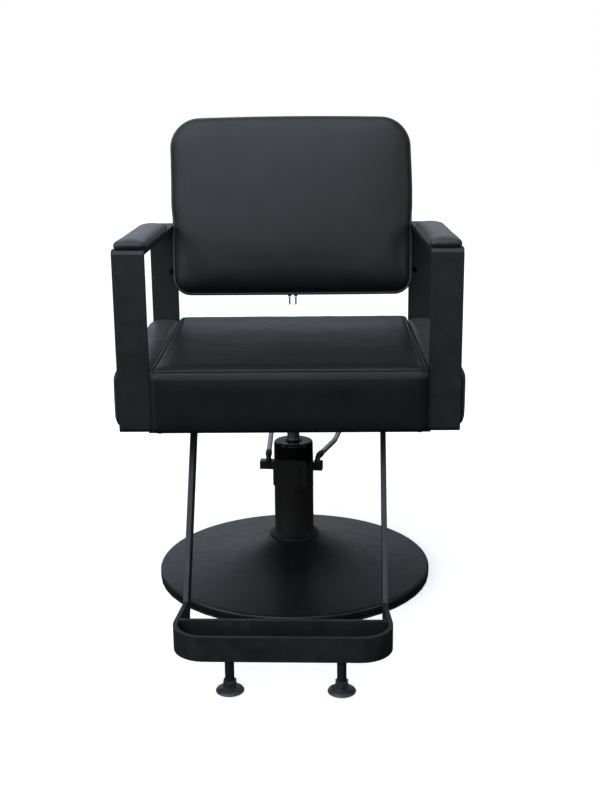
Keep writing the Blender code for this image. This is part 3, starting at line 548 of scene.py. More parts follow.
def capsule(centre, along, up, length, radius, sink=0.35):
    """A thread stitch: a bead whose ends dive into the cover."""
    along = along / np.linalg.norm(along)
    up = up - along * up.dot(along)
    up /= np.linalg.norm(up)
    across = np.cross(along, up)
    verts, faces = [], []
    prof = ((-0.50, 0.35, -1.1), (-0.36, 0.85, -0.25), (0.0, 1.0, sink), (0.36, 0.85, -0.25), (0.50, 0.35, -1.1))
    for s, r, lift in prof:
        for q in range(6):
            w = math.pi / 3 * q
            verts.append(centre + along * (s * length) + up * (radius * (lift + r * math.sin(w)))
                         + across * (radius * r * math.cos(w)))
    for k in range(len(prof) - 1):
        for q in range(6):
            r = (q + 1) % 6
            faces.append((k * 6 + q, k * 6 + r, k * 6 + 6 + r, k * 6 + 6 + q))
    faces.append((5, 4, 3, 2, 1, 0))
    e = (len(prof) - 1) * 6
    faces.append(tuple(range(e, e + 6)))
    return verts, faces


def stitch_row(pts, ups, pitch=0.0042, length=0.0034, radius=0.00034, closed=False):
    pts, ups = np.asarray(pts, float), np.asarray(ups, float)
    if closed:
        pts, ups = np.vstack([pts, pts[:1]]), np.vstack([ups, ups[:1]])
    run = np.concatenate([[0], np.cumsum(np.linalg.norm(np.diff(pts, axis=0), axis=1))])
    parts = []
    for s in np.arange(pitch / 2, run[-1], pitch):
        c = np.array([np.interp(s, run, pts[:, k]) for k in range(3)])
        u = np.array([np.interp(s, run, ups[:, k]) for k in range(3)])
        a = np.array([np.interp(s + 0.001, run, pts[:, k]) - np.interp(s - 0.001, run, pts[:, k])
                      for k in range(3)])
        parts.append(capsule(c, a, u, length, radius))
    return parts


def box_part(lo, hi, place=None):
    x0, y0, z0 = lo
    x1, y1, z1 = hi
    v = [np.array(p) for p in ((x0, y0, z0), (x1, y0, z0), (x1, y1, z0), (x0, y1, z0),
                               (x0, y0, z1), (x1, y0, z1), (x1, y1, z1), (x0, y1, z1))]
    if place is not None:
        v = [place(p) for p in v]
    return v, [(0, 3, 2, 1), (4, 5, 6, 7), (0, 1, 5, 4), (1, 2, 6, 5), (2, 3, 7, 6), (3, 0, 4, 7)]


def soft_piece(ob, node_names):
    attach(ob, "seat")
    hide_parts(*node_names)


def trim(ob, body="seat"):
    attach(ob, body)
    return ob


def ring_of(grid, k):
    """Indices of the k-th ring of a cushion's grid, in order round it."""
    g = grid[k:grid.shape[0] - k, k:grid.shape[1] - k]
    return np.concatenate([g[:-1, 0], g[-1, :-1], g[:0:-1, -1], g[0, :0:-1]])


def even_out(uv, value, width, use):
    """Smooths a value over places uv: a locally fitted plane, width given per place, from the points in use."""
    src, val = uv[use], value[use]
    res = np.array(value, float)
    for a in range(0, len(uv), 400):
        b = min(a + 400, len(uv))
        d = src[None, :, :] - uv[a:b, None, :]
        w = np.exp(-0.5 * (d ** 2).sum(2) / (width[a:b, None] ** 2)) + 1e-12
        s0, sx, sy = w.sum(1), (w * d[:, :, 0]).sum(1), (w * d[:, :, 1]).sum(1)
        xx, yy, xy = (w * d[:, :, 0] ** 2).sum(1), (w * d[:, :, 1] ** 2).sum(1), (w * d[:, :, 0] * d[:, :, 1]).sum(1)
        t0, tx, ty = (w * val).sum(1), (w * d[:, :, 0] * val).sum(1), (w * d[:, :, 1] * val).sum(1)
        m = np.stack([np.stack([s0, sx, sy], 1), np.stack([sx, xx, xy], 1), np.stack([sy, xy, yy], 1)], 1)
        m += np.eye(3) * (1e-9 * s0)[:, None, None]
        res[a:b] = np.linalg.solve(m, np.stack([t0, tx, ty], 1)[:, :, None])[:, 0, 0]
    return res


def graded(total, count, first, last):
    """count steps that grow from first to last, as running insets from 0 to total."""
    steps = np.linspace(first, last, count)
    return np.concatenate([[0], np.cumsum(steps * total / steps.sum())])


# ====================================================================== seat cushion
SEAT_HX, SEAT_HY, SEAT_CY = 0.2575, 0.2625, -0.1025
# (inset, height) from the sewn groove inwards and from it outwards, along the sides and along the front
SIDE_IN = ((0.0094, 0.5448), (0.0100, 0.5464), (0.0112, 0.5477), (0.0132, 0.5486), (0.0160, 0.5491),
           (0.0190, 0.5494), (0.0226, 0.5496))
SIDE_OUT = ((0.0086, 0.5464), (0.0068, 0.5478), (0.0044, 0.5476), (0.0022, 0.5456), (0.0008, 0.5422),
            (0.0002, 0.5385), (0.0, 0.5340))
FRONT_IN = ((0.0036, 0.5406), (0.0018, 0.5418), (0.0014, 0.5433), (0.0030, 0.5451), (0.0078, 0.5470),
            (0.0158, 0.5485), (0.0270, 0.5495))
FRONT_OUT = ((0.0022, 0.5392), (0.0010, 0.5377), (0.0001, 0.5358), (-0.0006, 0.5336), (-0.0010, 0.5314),
             (-0.0013, 0.5296), (-0.0014, 0.5288))


def build_seat():
    n_u, n_v = 76, 78
    half = 38
    r0 = 0.016

    def spec(e, z, hx=SEAT_HX, hy=SEAT_HY, cy=SEAT_CY, r=r0):
        rr = max(r - e, 0.005)
        return (0.0, cy, hx - e, hy - e, (rr,) * 4, z)

    def build(edge, out, full=0.0):
        rings = [spec(e, z) for e, z in edge]
        e0, z0 = edge[-1]
        for d in graded(SEAT_HX - e0, half + 1 - len(rings), 0.0062, 0.0086)[1:]:
            rings.append(spec(e0 + d * 0.9995, z0))
        rows = [spec(e, z) for e, z in out]
        rows += [spec(-full * ease((z - 0.455) / 0.072), z) for z in np.linspace(0.5280, 0.4400, 12)]
        rows += [spec(e, z) for e, z in ((0.0004, 0.4350), (0.0014, 0.4312), (0.0028, 0.4286), (0.0042, 0.4272))]
        inner = (0.0, -0.1000, 0.2522, 0.2502, (0.010,) * 4)
        rows += [inner + (0.4272,), inner + (0.4320,), inner + (0.4397,)]
        return cushion_mesh(n_u, n_v, rings, rows)

    verts, faces, grid, loops = build(SIDE_IN, SIDE_OUT)
    ahead = build(FRONT_IN, FRONT_OUT, 0.0014)[0]
    share = ease((-0.3440 - verts[:, 1:2]) / 0.016)
    verts = verts + (ahead - verts) * share
    kept = len(SIDE_IN)
    e0 = SIDE_IN[-1][0]
    deep = SEAT_HX - e0
    # a low smooth crown, and a fuller edge at the back
    inside = grid[kept:n_u + 1 - kept, kept:n_v + 1 - kept].ravel()
    su = 1 - (verts[inside, 0] / deep) ** 2
    sv = 1 - ((verts[inside, 1] - SEAT_CY) / (SEAT_HY - e0)) ** 2
    verts[inside, 2] += 0.0016 * np.clip(su, 0, 1) ** 0.8 * np.clip(sv, 0, 1) ** 0.8
    high = verts[:, 2] > 0.5370
    verts[high, 2] += 0.0026 * ease((verts[high, 1] - 0.095) / 0.06)
    # the cover takes the darker seat leatherette, whose colour is painted shade
    ob = add_mesh("seat_cushion_cover", verts, faces, LEATHER_SEAT_SHADED)
    base = coords(ob)
    seam = loops[0]
    outer = np.concatenate(loops[1:len(SIDE_OUT) + 1])
    outer = outer[(base[outer, 1] > -0.345) | (base[outer, 2] > 0.5370)]
    inner_roll = np.concatenate([ring_of(grid, k) for k in range(4)])
    # the corner seams at the front: the columns of the two front corners
    corner = [lp[c] for lp in loops[1:22] for c in (0, n_u)]
    flat = np.where((base[:, 2] < 0.434) | ((np.abs(base[:, 0]) > 0.2560) & (base[:, 2] < 0.531)
                                            & (base[:, 1] > -0.352)))[0]
    inflate(ob, np.unique(np.concatenate([seam, outer, inner_roll, corner, flat])), 0.30, 0.0036)
    co = coords(ob)
    no = normals(ob)
    co[corner] -= no[corner] * 0.0012
    # the thread pulls the groove in more at each stitch, the rolls pucker a little beside it
    edge = np.concatenate([seam, outer, inner_roll])
    co[edge, 2] += 0.0005 * wobble(co[edge] * np.array([1.0, 1.0, 0.2]), 46.0, 9.4)
    # the foam is soft: a little unevenness on the top, small wrinkles by the rear edge
    top = np.zeros(len(co), bool)
    top[inside] = True
    lift = np.zeros(len(co))
    lift[top] = 0.0009 * wobble(co[top], 7.0, 3.1) + 0.0004 * wobble(co[top], 19.0, 8.2)
    rear = ease((co[:, 1] - 0.085) / 0.06) * ease((0.150 - co[:, 1]) / 0.012)
    fine = np.zeros(len(co))
    fine[top] = wobble(co[top] * np.array([1.0, 0.45, 1.0]), 58.0, 5.5)
    co[:, 2] += np.where(top, lift + 0.0006 * rear * fine, 0.0)
    front = (co[:, 1] < -0.358) & (co[:, 2] < 0.538) & (co[:, 2] > 0.432)
    co[front, 1] += 0.0006 * wobble(co[front], 9.0, 1.7)
    # the front's lower edge sags a little
    co[:, 2] -= 0.0024 * ease((0.446 - co[:, 2]) / 0.012) * ease((-0.3500 - co[:, 1]) / 0.008)
    # in front of the arm posts the foam fills the gap beside it
    co[:, 0] = np.clip(co[:, 0], -SEAT_HX, SEAT_HX)
    co[:, 0] *= 1 + 0.0125 * ease((-0.3405 - co[:, 1]) / 0.010) * ease((np.abs(co[:, 0]) - 0.20) / 0.05)
    set_coords(ob, co)
    refine(ob, 2)
    soft_piece(ob, ("seat_cushion",))

    # thread in the groove, and top-stitching behind the front edge
    no = normals(ob)
    final = coords(ob)
    parts = stitch_row(final[seam] + no[seam] * 0.0003, no[seam], closed=True)
    line = [grid[i, 5] for i in range(6, n_u - 5)]
    parts += stitch_row(final[line], no[line])
    trim(many("seat_stitching", parts, THREAD))
    # the seam's own cord, dark at the bottom of the groove
    path = resample(final[seam] - no[seam] * 0.0004, 0.004, closed=True)
    trim(tube("seat_seam_cord", path, 0.0009, THREAD, 8, closed=True))

    # cover turned under the board and stapled
    hem, staples = [], []
    outer = loop_points(60, 60, (0.0, -0.1000, 0.2516, 0.2496, (0.010,) * 4, 0.4272))
    inner_loop = loop_points(60, 60, (0.0, -0.1000, 0.2270, 0.2250, (0.008,) * 4, 0.4272))
    rag = np.array([0.003 * perlin.noise(Vector((p[0] * 24, p[1] * 24, 2.0))) for p in inner_loop])
    away = inner_loop[:, :2] - np.array([0.0, -0.1])
    away /= np.linalg.norm(away, axis=1, keepdims=True)
    inner_loop[:, :2] += away * rag[:, None]
    m = len(outer)
    v = []
    for z in (0.4273, 0.4268):
        v += [np.array((p[0], p[1], z)) for p in outer] + [np.array((p[0], p[1], z)) for p in inner_loop]
    f = []
    for q in range(m):
        r = (q + 1) % m
        f.append((q, r, m + r, m + q))
        f.append((2 * m + q, 3 * m + q, 3 * m + r, 2 * m + r))
        f.append((q, 2 * m + q, 2 * m + r, r))
        f.append((m + q, m + r, 3 * m + r, 3 * m + q))
    hem_ob = add_mesh("seat_cover_hem", v, f, LEATHER, smooth=False, fix_normals=True)
    trim(hem_ob)
    mid = resample((outer + inner_loop) / 2, 0.030, closed=True)
    for k, p in enumerate(mid):
        if abs(abs(p[0]) - 0.240) < 0.02 and (abs(p[1] + 0.320) < 0.03 or abs(p[1] - 0.115) < 0.03):
            continue
        t = mid[(k + 1) % len(mid)] - mid[k - 1]
        t /= np.linalg.norm(t)
        s = np.array([-t[1], t[0], 0])
        turn = 0.25 * math.sin(k * 2.3)
        d = t * math.cos(turn) + s * math.sin(turn)
        e = np.cross((0, 0, 1.0), d)
        c = np.array((p[0], p[1], 0.4268))

        def put(q, c=c, d=d, e=e):
            return c + d * q[0] + e * q[1] + np.array((0, 0, q[2]))
        staples.append(box_part((-0.0055, -0.0004, -0.0006), (0.0055, 0.0004, 0.0002), put))
    trim(many("seat_staples", staples, ZINC, smooth=False))
    return ob


# ====================================================================== side panels
def build_panel(name, sx):
    """Padded panel inside the arm's loop; its outer skin swells over the bar's edge."""
    n_u, n_v = 84, 22
    cu, cv, hu, hv, reach = -0.0810, 0.4838, 0.2535, 0.0545, 0.0128
    ins = np.array([0, 0.0009, 0.0026, 0.0052, 0.0088, 0.0134, 0.0190, 0.0256, 0.0332, 0.0414, 0.0486, 0.0555])

    def spec(e, x):
        return (cu, cv, hu - e, hv - e, (max(0.016 - e, 0.004),) * 4, x)

    rings = [spec(e, 0.3222 + reach * math.sqrt(max(0.0, 1 - (1 - min(e / hv, 1.0)) ** 2))) for e in ins]
    in_y, in_z = (-0.3290, 0.1670), 0.4306

    def row(x, z1, z0=in_z, inset=0.0, r=0.010):
        y0, y1 = in_y[0] + inset, in_y[1] - inset
        return ((y0 + y1) / 2, (z0 + z1) / 2, (y1 - y0) / 2, (z1 - z0) / 2, (r,) * 4, x)

    rows = [row(0.3219, 0.5392), row(0.3180, 0.5416), row(0.3120, 0.5431), row(0.3040, 0.5440), row(0.2950, 0.5443),
            row(0.2860, 0.5443), row(0.2780, 0.5440), row(0.2710, 0.5433), row(0.2655, 0.5420),
            row(0.2618, 0.5400, inset=0.0006), row(0.2596, 0.5372, 0.4322, 0.0016), row(0.2588, 0.5335, 0.4354, 0.0040)]
    verts, faces, grid, loops = cushion_mesh(n_u, n_v, rings, rows)
    # u is y, v is z, depth is away from the middle
    world = np.column_stack([verts[:, 2] * sx, verts[:, 0], verts[:, 1]])
    if sx < 0:
        faces = [tuple(reversed(f)) for f in faces]
    ob = add_mesh("side_panel_cover_" + name, world, faces, LEATHER_PANEL)
    base = coords(ob)
    held = np.where((np.abs(base[:, 0]) < 0.2640) | (base[:, 2] < 0.4320) | (np.abs(base[:, 0]) > 0.3215))[0]
    inflate(ob, np.unique(np.concatenate([loops[0], held])), 0.22, 0.0018)
    co = coords(ob)
    top = co[:, 2] > 0.5300
    co[top, 2] += 0.0008 * wobble(co[top], 17.0, 2.0 + sx)
    skin = np.abs(co[:, 0]) > 0.3260
    co[skin, 0] += sx * 0.0007 * wobble(co[skin], 12.0, 5.0 + sx)
    inside = np.abs(co[:, 0]) < 0.3216
    co[inside, 1] = np.clip(co[inside, 1], -0.3296, 0.1676)
    co[inside, 2] = np.maximum(co[inside, 2], 0.4303)
    co[:, 0] = np.clip(np.abs(co[:, 0]), 0.2586, 0.3368) * sx
    set_coords(ob, co)
    refine(ob, 1)
    soft_piece(ob, ("side_panel_" + name,))
    no, final = normals(ob), coords(ob)
    line = list(ring_of(grid, 5))
    trim(many("side_panel_stitching_" + name, stitch_row(final[line], no[line], closed=True), THREAD))
    return ob


# ====================================================================== arm pads
ARM_TOP, ARM_SLOPE, ARM_FRONT = 0.7655, 0.0045 / 0.518, -0.340


def build_arm_pad(name, sx):
    """Stapled pad on the arm's upper bar, which runs down a little towards the back."""
    n_u, n_v = 16, 96
    cx, cy, hx, hy = 0.2884 * sx, -0.1645, 0.0300, 0.1712
    ins = (0.0, 0.0004, 0.0015, 0.0035, 0.0066, 0.0108, 0.0162, 0.0226, 0.0299)
    prof = [(e, 0.0076 + 0.0110 * (1 - (1 - e / 0.0300) ** 2.4) ** 0.46) for e in ins]

    def spec(e, h):
        return (cx, cy, max(hx - e, 0.0001), hy - e, (min(max(hx - e, 0.0001), 0.0110 + 0.45 * e),) * 4, ARM_TOP + h)

    rings = [spec(e, h) for e, h in prof]
    rows = [spec(e, h) for e, h in ((0.0001, 0.0052), (0.0003, 0.0033), (0.0010, 0.0016), (0.0024, 0.0006),
                                    (0.0044, 0.0004))]
    verts, faces, grid, loops = cushion_mesh(n_u, n_v, rings, rows)
    # the pad takes the lighter pad leatherette, whose colour is painted light
    ob = add_mesh("arm_pad_cover_" + name, verts, faces, LEATHER_PAD_LIT)
    base = coords(ob)
    inflate(ob, np.where(base[:, 2] < ARM_TOP + 0.0045)[0], 1.0, 0.0016)
    co = coords(ob)
    upper = grid[3:-3, 3:-3].ravel()
    soft = even_out(co[:, :2], co[:, 2], np.full(len(co), 0.0055), upper)
    co[upper, 2] += (soft[upper] - co[upper, 2]) * ease((co[upper, 2] - ARM_TOP - 0.0120) / 0.0030)
    set_coords(ob, co)
    # the cover is gathered at the corners
    no = normals(ob)
    for ex in (-1, 1):
        for ey in (-1, 1):
            d = co[:, :2] - np.array([cx + ex * (hx - 0.006), cy + ey * (hy - 0.006)])
            ang = np.arctan2(d[:, 1] * ey, d[:, 0] * ex)
            rad = np.hypot(d[:, 0], d[:, 1])
            near = ease((0.016 - rad) / 0.010) * ease((ARM_TOP + 0.0140 - co[:, 2]) / 0.004)
            co -= no * (0.0006 * near * np.maximum(0.0, np.cos(ang * 9.0 - 4.0)))[:, None]
    top = co[:, 2] > ARM_TOP + 0.010
    co[top, 2] += 0.0006 * wobble(co[top], 24.0, 4.0 * sx)
    co[:, 2] = np.clip(co[:, 2], ARM_TOP + 0.0003, ARM_TOP + 0.0200)
    co[:, 2] -= ARM_SLOPE * (co[:, 1] - ARM_FRONT)
    set_coords(ob, co)
    refine(ob, 2)
    soft_piece(ob, ("arm_pad_" + name,))
    return ob


# ====================================================================== backrest
BACK_O = np.array([0.0, 0.045, 0.6165])
BACK_UP = np.array([0.0, math.sin(math.radians(10)), math.cos(math.radians(10))])
BACK_FRONT = np.array([0.0, -math.cos(math.radians(10)), math.sin(math.radians(10))])
BACK_HW, BACK_HH, BACK_MID = 0.2600, 0.1899, 0.1934
BACK_RAD = (0.037, 0.037, 0.062, 0.062)
BACK_SEAM = -0.0400
# (inset from the outline, depth) from the piped seam to the front face: full at the top and rolled under below
BACK_HIGH = ((0.0046, BACK_SEAM), (0.0032, -0.0378), (0.0022, -0.0345), (0.0020, -0.0305), (0.0027, -0.0262),
             (0.0044, -0.0220), (0.0071, -0.0182), (0.0110, -0.0148), (0.0162, -0.0118), (0.0230, -0.0092),
             (0.0316, -0.0070), (0.0420, -0.0053))
BACK_LOW = ((0.0066, BACK_SEAM), (0.0060, -0.0378), (0.0060, -0.0345), (0.0070, -0.0305), (0.0090, -0.0262),
            (0.0122, -0.0220), (0.0166, -0.0182), (0.0222, -0.0148), (0.0290, -0.0118), (0.0368, -0.0092),
            (0.0456, -0.0070), (0.0550, -0.0053))
# and from the seam to the back
BACK_REAR = ((0.0034, -0.0424), (0.0024, -0.0465), (0.0020, -0.0520), (0.0024, -0.0580), (0.0036, -0.0640),
             (0.0056, -0.0700), (0.0084, -0.0758), (0.0120, -0.0805), (0.0164, -0.0838), (0.0220, -0.0853),
             (0.0290, -0.0857))


def back_point(local):
    local = np.asarray(local, float)
    return (BACK_O + local[..., 0:1] * np.array([1.0, 0, 0]) + local[..., 1:2] * BACK_UP
            + local[..., 2:3] * BACK_FRONT)


def back_bow(local):
    """Top and bottom edges of the backrest are slightly bowed."""
    res = np.array(local, float)
    t = (res[:, 1] - BACK_MID + BACK_HH) / (2 * BACK_HH)
    arch = 1 - np.clip(np.abs(res[:, 0]) / BACK_HW, 0, 1) ** 2
    res[:, 1] += (0.0045 * arch - 0.0014) * ease((t - 0.5) / 0.5) - 0.0006 * arch * ease((0.4 - t) / 0.4)
    return res


def back_squeeze(co):
    """The cushion gives way where it stands between the arms' upper bars, is widest above them, and sits a
    little askew at the top."""
    near = np.exp(-((co[:, 2] - 0.7610) / 0.022) ** 2)
    wide = ease((co[:, 2] - 0.775) / 0.03) * ease((0.925 - co[:, 2]) / 0.10) * ease((np.abs(co[:, 0]) - 0.12) / 0.12)
    co[:, 0] += wide * np.where(co[:, 0] < 0, -0.0022, 0.0012)
    co[:, 0] -= 0.0030 * ease((co[:, 2] - 0.83) / 0.13)
    limit = 0.2680 - 0.0076 * np.maximum(near, ease((0.775 - co[:, 2]) / 0.03) * 0.5)
    over = np.abs(co[:, 0]) - (limit - 0.003)
    soft = np.where(over > 0, 0.003 * (1 - np.exp(-np.maximum(over, 0) / 0.003)), over)
    co[:, 0] = np.sign(co[:, 0]) * (limit - 0.003 + soft)
    return co


def build_backrest():
    n_u, n_v = 92, 72

    def spec(e, z):
        return (0.0, BACK_MID, BACK_HW - e, BACK_HH - e,
                tuple(max(r - e, min(0.020 + 0.9 * e, 0.12)) for r in BACK_RAD), z)

    half = 36
    kept = len(BACK_HIGH)

    def front(profile):
        e0, z0 = profile[-1]
        rings = [spec(e, z) for e, z in profile]
        for d in graded(BACK_HH - e0, half + 1 - kept, 0.0052, 0.0060)[1:]:
            rings.append(spec(e0 + d * 0.9995, z0))
        pts, f, g, lp = cushion_mesh(n_u, n_v, rings, [], close=False)
        inside = g[kept:n_u + 1 - kept, kept:n_v + 1 - kept].ravel()
        su = 1 - (pts[inside, 0] / (BACK_HW - e0)) ** 2
        sv = 1 - ((pts[inside, 1] - BACK_MID) / (BACK_HH - e0)) ** 2
        pts[inside, 2] += 0.0070 * np.clip(su, 0, 1) ** 0.8 * np.clip(sv, 0, 1) ** 0.8
        return pts, f, g, lp

    high, faces, grid, loops = front(BACK_HIGH)
    low = front(BACK_LOW)[0]
    share = ease((high[:, 1:2] - 0.040) / 0.180)
    verts = low + (high - low) * share
    front_count = len(verts)
    # rings from the edge: how far a point of the face is from the rolled rim
    depth = np.empty(front_count)
    for k in range(half + 1):
        depth[ring_of(grid, k) if k < half else grid[k:n_u + 1 - k, k:n_v + 1 - k].ravel()] = k
    open_face = depth >= 6
    ease_in = ease((depth - 6) / 7.0)
    width = 0.006 + 0.020 * ease((depth - 6) / 10.0)
    smooth_z = even_out(verts[:, :2], verts[:, 2], width, open_face)
    verts[:, 2] += (smooth_z - verts[:, 2]) * ease_in
    # sides behind the piping and the rear panel over the board
    back_rings = [spec(0.0046, BACK_SEAM)] + [spec(e, z) for e, z in BACK_REAR]
    e0 = BACK_REAR[-1][0]
    for d in graded(BACK_HH - e0, half + 1 - len(back_rings), 0.0055, 0.0056)[1:]:
        back_rings.append(spec(e0 + d * 0.9995, -0.08575))
    bverts, bfaces, bgrid, bloops = cushion_mesh(n_u, n_v, back_rings, [], close=False)
    back_index = np.arange(len(bverts)) + front_count
    back_index[bloops[0]] = loops[0]
    keep = np.setdiff1d(np.arange(len(bverts)), bloops[0])
    remap = back_index.copy()
    remap[keep] = front_count + np.arange(len(keep))
    allv = np.vstack([verts, bverts[keep]])
    allf = list(faces) + [tuple(remap[i] for i in reversed(f)) for f in bfaces]
    local = back_bow(allv)
    ob = add_mesh("backrest_cover", back_point(local), allf, LEATHER)
    base = coords(ob)
    rear = np.unique(np.concatenate([remap.ravel(), loops[0]]))
    rim = np.concatenate([ring_of(grid, k) for k in range(4)])
    inflate(ob, np.unique(np.concatenate([rear, rim])), 0.22, 0.0046)
    co = coords(ob)
    # foam under the cover spreads its swelling evenly over the face
    move = (co - base)[:front_count]
    for axis in range(3):
        spread = even_out(verts[:, :2], move[:, axis], 0.010 + 0.022 * ease((depth - 4) / 9.0), depth >= 3)
        co[:front_count, axis] += (spread - move[:, axis]) * ease((depth - 3) / 4.0)
    set_coords(ob, co)
    no = normals(ob)
    seam = loops[0]
    co[seam] -= no[seam] * 0.0012
    shift = np.zeros(len(co))
    face = local[:, 2] > -0.036
    shift[face] = 0.0010 * wobble(co[face], 6.5, 6.4) + 0.0003 * wobble(co[face], 17.0, 1.2)
    # gathers where the cover turns the corners, fading out on the face
    for ex in (-1, 1):
        for ey, r in ((0, BACK_RAD[0]), (1, BACK_RAD[2])):
            cx = ex * (BACK_HW - r)
            cy = BACK_MID - BACK_HH + r if ey == 0 else BACK_MID + BACK_HH - r
            dx, dy = (local[:, 0] - cx) * ex, (local[:, 1] - cy) * (1 if ey else -1)
            ang = np.arctan2(dy, dx)
            hub = np.hypot(dx, dy)
            zone = ease((hub - 0.70 * r) / (0.3 * r)) * ease((ang + 0.15) / 0.35) * ease((1.72 - ang) / 0.35)
            zone *= ease((local[:, 2] + 0.078) / 0.02) * ease((-0.043 - local[:, 2]) / 0.006)
            shift -= 0.0010 * zone * np.maximum(0.0, np.sin(ang * 11.0 + ex)) ** 2
    co += no * shift[:, None]
    flat = local[:, 2] < -0.0850
    co[flat] += (-BACK_FRONT) * (0.00025 * (wobble(co[flat], 26.0, 2.2)))[:, None]
    set_coords(ob, back_squeeze(co))
    refine(ob, 1)
    soft_piece(ob, ("backrest_cushion", "backrest_board"))

    # piping in the seam, all round, in a much lighter leatherette whose colour is a painted highlight
    ring = loop_points(n_u, n_v, spec(0.0018, BACK_SEAM - 0.0006))
    ring = back_point(back_bow(ring))
    path = back_squeeze(resample(ring, 0.004, closed=True) * 1.0)
    trim(tube("backrest_piping", path, 0.0034, LEATHER_EDGE_LIT, 14, closed=True))
    final, no = coords(ob), normals(ob)
    line = [remap[i] for i in ring_of(bgrid, 10)]
    trim(many("backrest_stitching", stitch_row(final[line], no[line], closed=True), THREAD))
    return ob


def build_zip():
    """Zip along the backrest's lower edge, two sliders meeting at the middle."""
    z_at, run = -0.0580, 0.198

    def under(x, y, z):
        bow = 0.0006 * (1 - min(abs(x) / BACK_HW, 1) ** 2)
        return back_point(np.array([x, 0.0058 - bow + y, z]))

    tape, teeth = [], []
    xs = np.linspace(-run, run, 80)
    for s in (-1, 1):
        v, f = [], []
        for x in xs:
            for y, z in ((0.0006, z_at + s * 0.0012), (0.0006, z_at + s * 0.0085), (-0.0004, z_at + s * 0.0085),
                         (-0.0004, z_at + s * 0.0012)):
                v.append(under(x, y, z))
        for k in range(len(xs) - 1):
            for q in range(4):
                r = (q + 1) % 4
                f.append((k * 4 + q, k * 4 + r, k * 4 + 4 + r, k * 4 + 4 + q))
        f.append((0, 1, 2, 3))
        e = (len(xs) - 1) * 4
        f.append((e + 3, e + 2, e + 1, e))
        tape.append((v, f))
        for k, x in enumerate(np.arange(-run + 0.004, run - 0.004, 0.0022)):
            if abs(abs(x) - 0.0068) < 0.0052:
                continue
            xx = x + (0.0011 if s > 0 else 0.0)
            teeth.append(box_part((xx - 0.0005, -0.0013, z_at - 0.0010 if s > 0 else z_at - 0.0024),
                                  (xx + 0.0005, -0.0001, z_at + 0.0024 if s > 0 else z_at + 0.0010),
                                  lambda q: under(q[0], q[1], q[2])))
    trim(many("zip_tape", tape, THREAD, smooth=False))
    trim(many("zip_teeth", teeth, DARK_STEEL, smooth=False))
    # sliders: a body on the chain, two cheeks and the pin that the pull hangs on
    hinge_y, hinge_z = 0.1015, 0.6030
    parts = []
    for sx in (-1, 1):
        x = sx * 0.0068
        top = under(x, -0.0016, z_at)
        parts.append(box_part((x - 0.0040, -0.0030, z_at - 0.0036), (x + 0.0040, -0.0014, z_at + 0.0036),
                              lambda q: under(q[0], q[1], q[2])))
        for c in (-1, 1):
            parts.append(box_part((x + c * 0.0030 - 0.0005, hinge_y - 0.0010, hinge_z - 0.0010),
                                  (x + c * 0.0030 + 0.0005, hinge_y + 0.0010, top[2] + 0.0004)))
        # neck of the slider, tapering down to the cheeks
        neck, quads = box_part((-1, hinge_y - 0.0010, 0), (1, hinge_y + 0.0010, 1))
        parts.append(([np.array((x + q[0] * (0.0033 + 0.0008 * q[2]), q[1],
                                 hinge_z + 0.0021 + q[2] * (top[2] + 0.0004 - hinge_z - 0.0021))) for q in neck], quads))
        parts.append(box_part((x - 0.0032, hinge_y - 0.0004, hinge_z - 0.0004), (x + 0.0032, hinge_y + 0.0004, hinge_z + 0.0004)))
    ob = many("zip_sliders", parts, BLACK_ZIP, smooth=False)
    mod = ob.modifiers.new("edges", "BEVEL")
    mod.width, mod.segments = 0.0003, 2
    trim(ob)


# ====================================================================== hard parts
FINISH = {
    "powder_coat": COAT, "base_paint": BASE, "gloss_black": GLOSS, "steel": STEEL, "chrome": CHROME,
    "zinc": ZINC, "rubber": RUBBER, "plywood": WOOD, "leatherette": LEATHER,
}
SPECIAL = {
    "footrest_bar": COAT_WORN, "footrest_crossbar": COAT_WORN, "pump_casing": PUMP, "pump_head": PUMP,
    "plunger_barrel": PUMP, "pedal_shaft": PUMP, "glide_stem_left": COAT, "glide_stem_right": COAT,
    "glide_pad_left": PAD, "glide_pad_right": PAD, "pedal_bar": CHROME_FULL, "pedal_sleeve": RUBBER_RIB,
    "zip_pull_left": BLACK_ZIP, "zip_pull_right": BLACK_ZIP, "column_collar": COLLAR,
}
ROUNDED = {"arm_frame_left": 0.0011, "arm_frame_right": 0.0011, "footrest_bar": 0.0010, "footrest_crossbar": 0.0009,
           "footrest_hanger_left": 0.0009, "footrest_hanger_right": 0.0009, "seat_plate": 0.0010,
           "back_bracket_left": 0.0009, "back_bracket_right": 0.0009, "pedal_shaft": 0.0010, "pump_head": 0.0012,
           "zip_pull_left": 0.0003, "zip_pull_right": 0.0003, "glide_pad_left": 0.0006, "glide_pad_right": 0.0006}


def finish_node(name, ob):
    slot = ob.data.materials[0].name.split(".")[0] if ob.data.materials and ob.data.materials[0] else ""
    mat = SPECIAL.get(name) or FINISH.get(slot)
    if mat is None:
        mat = COAT
        print("no finish for", name, slot)
    ob.data.materials.clear()
    ob.data.materials.append(mat)
    if name in ROUNDED:
        for attr in [a for a in ob.data.attributes if a.name == "custom_normal"]:
            ob.data.attributes.remove(attr)
        ob.data.shade_smooth()
        weld = ob.modifiers.new("weld", "WELD")
        weld.merge_threshold = 0.00002
        bev = ob.modifiers.new("edges", "BEVEL")
        bev.width, bev.segments, bev.limit_method = ROUNDED[name], 2, "ANGLE"
        bev.angle_limit = math.radians(40)
        bev.use_clamp_overlap = True
        bev.miter_outer = "MITER_ARC"
        flat = ob.modifiers.new("flat", "WEIGHTED_NORMAL")
        flat.keep_sharp = True


for node_name, node_ob in NODES.items():
    finish_node(node_name, node_ob)


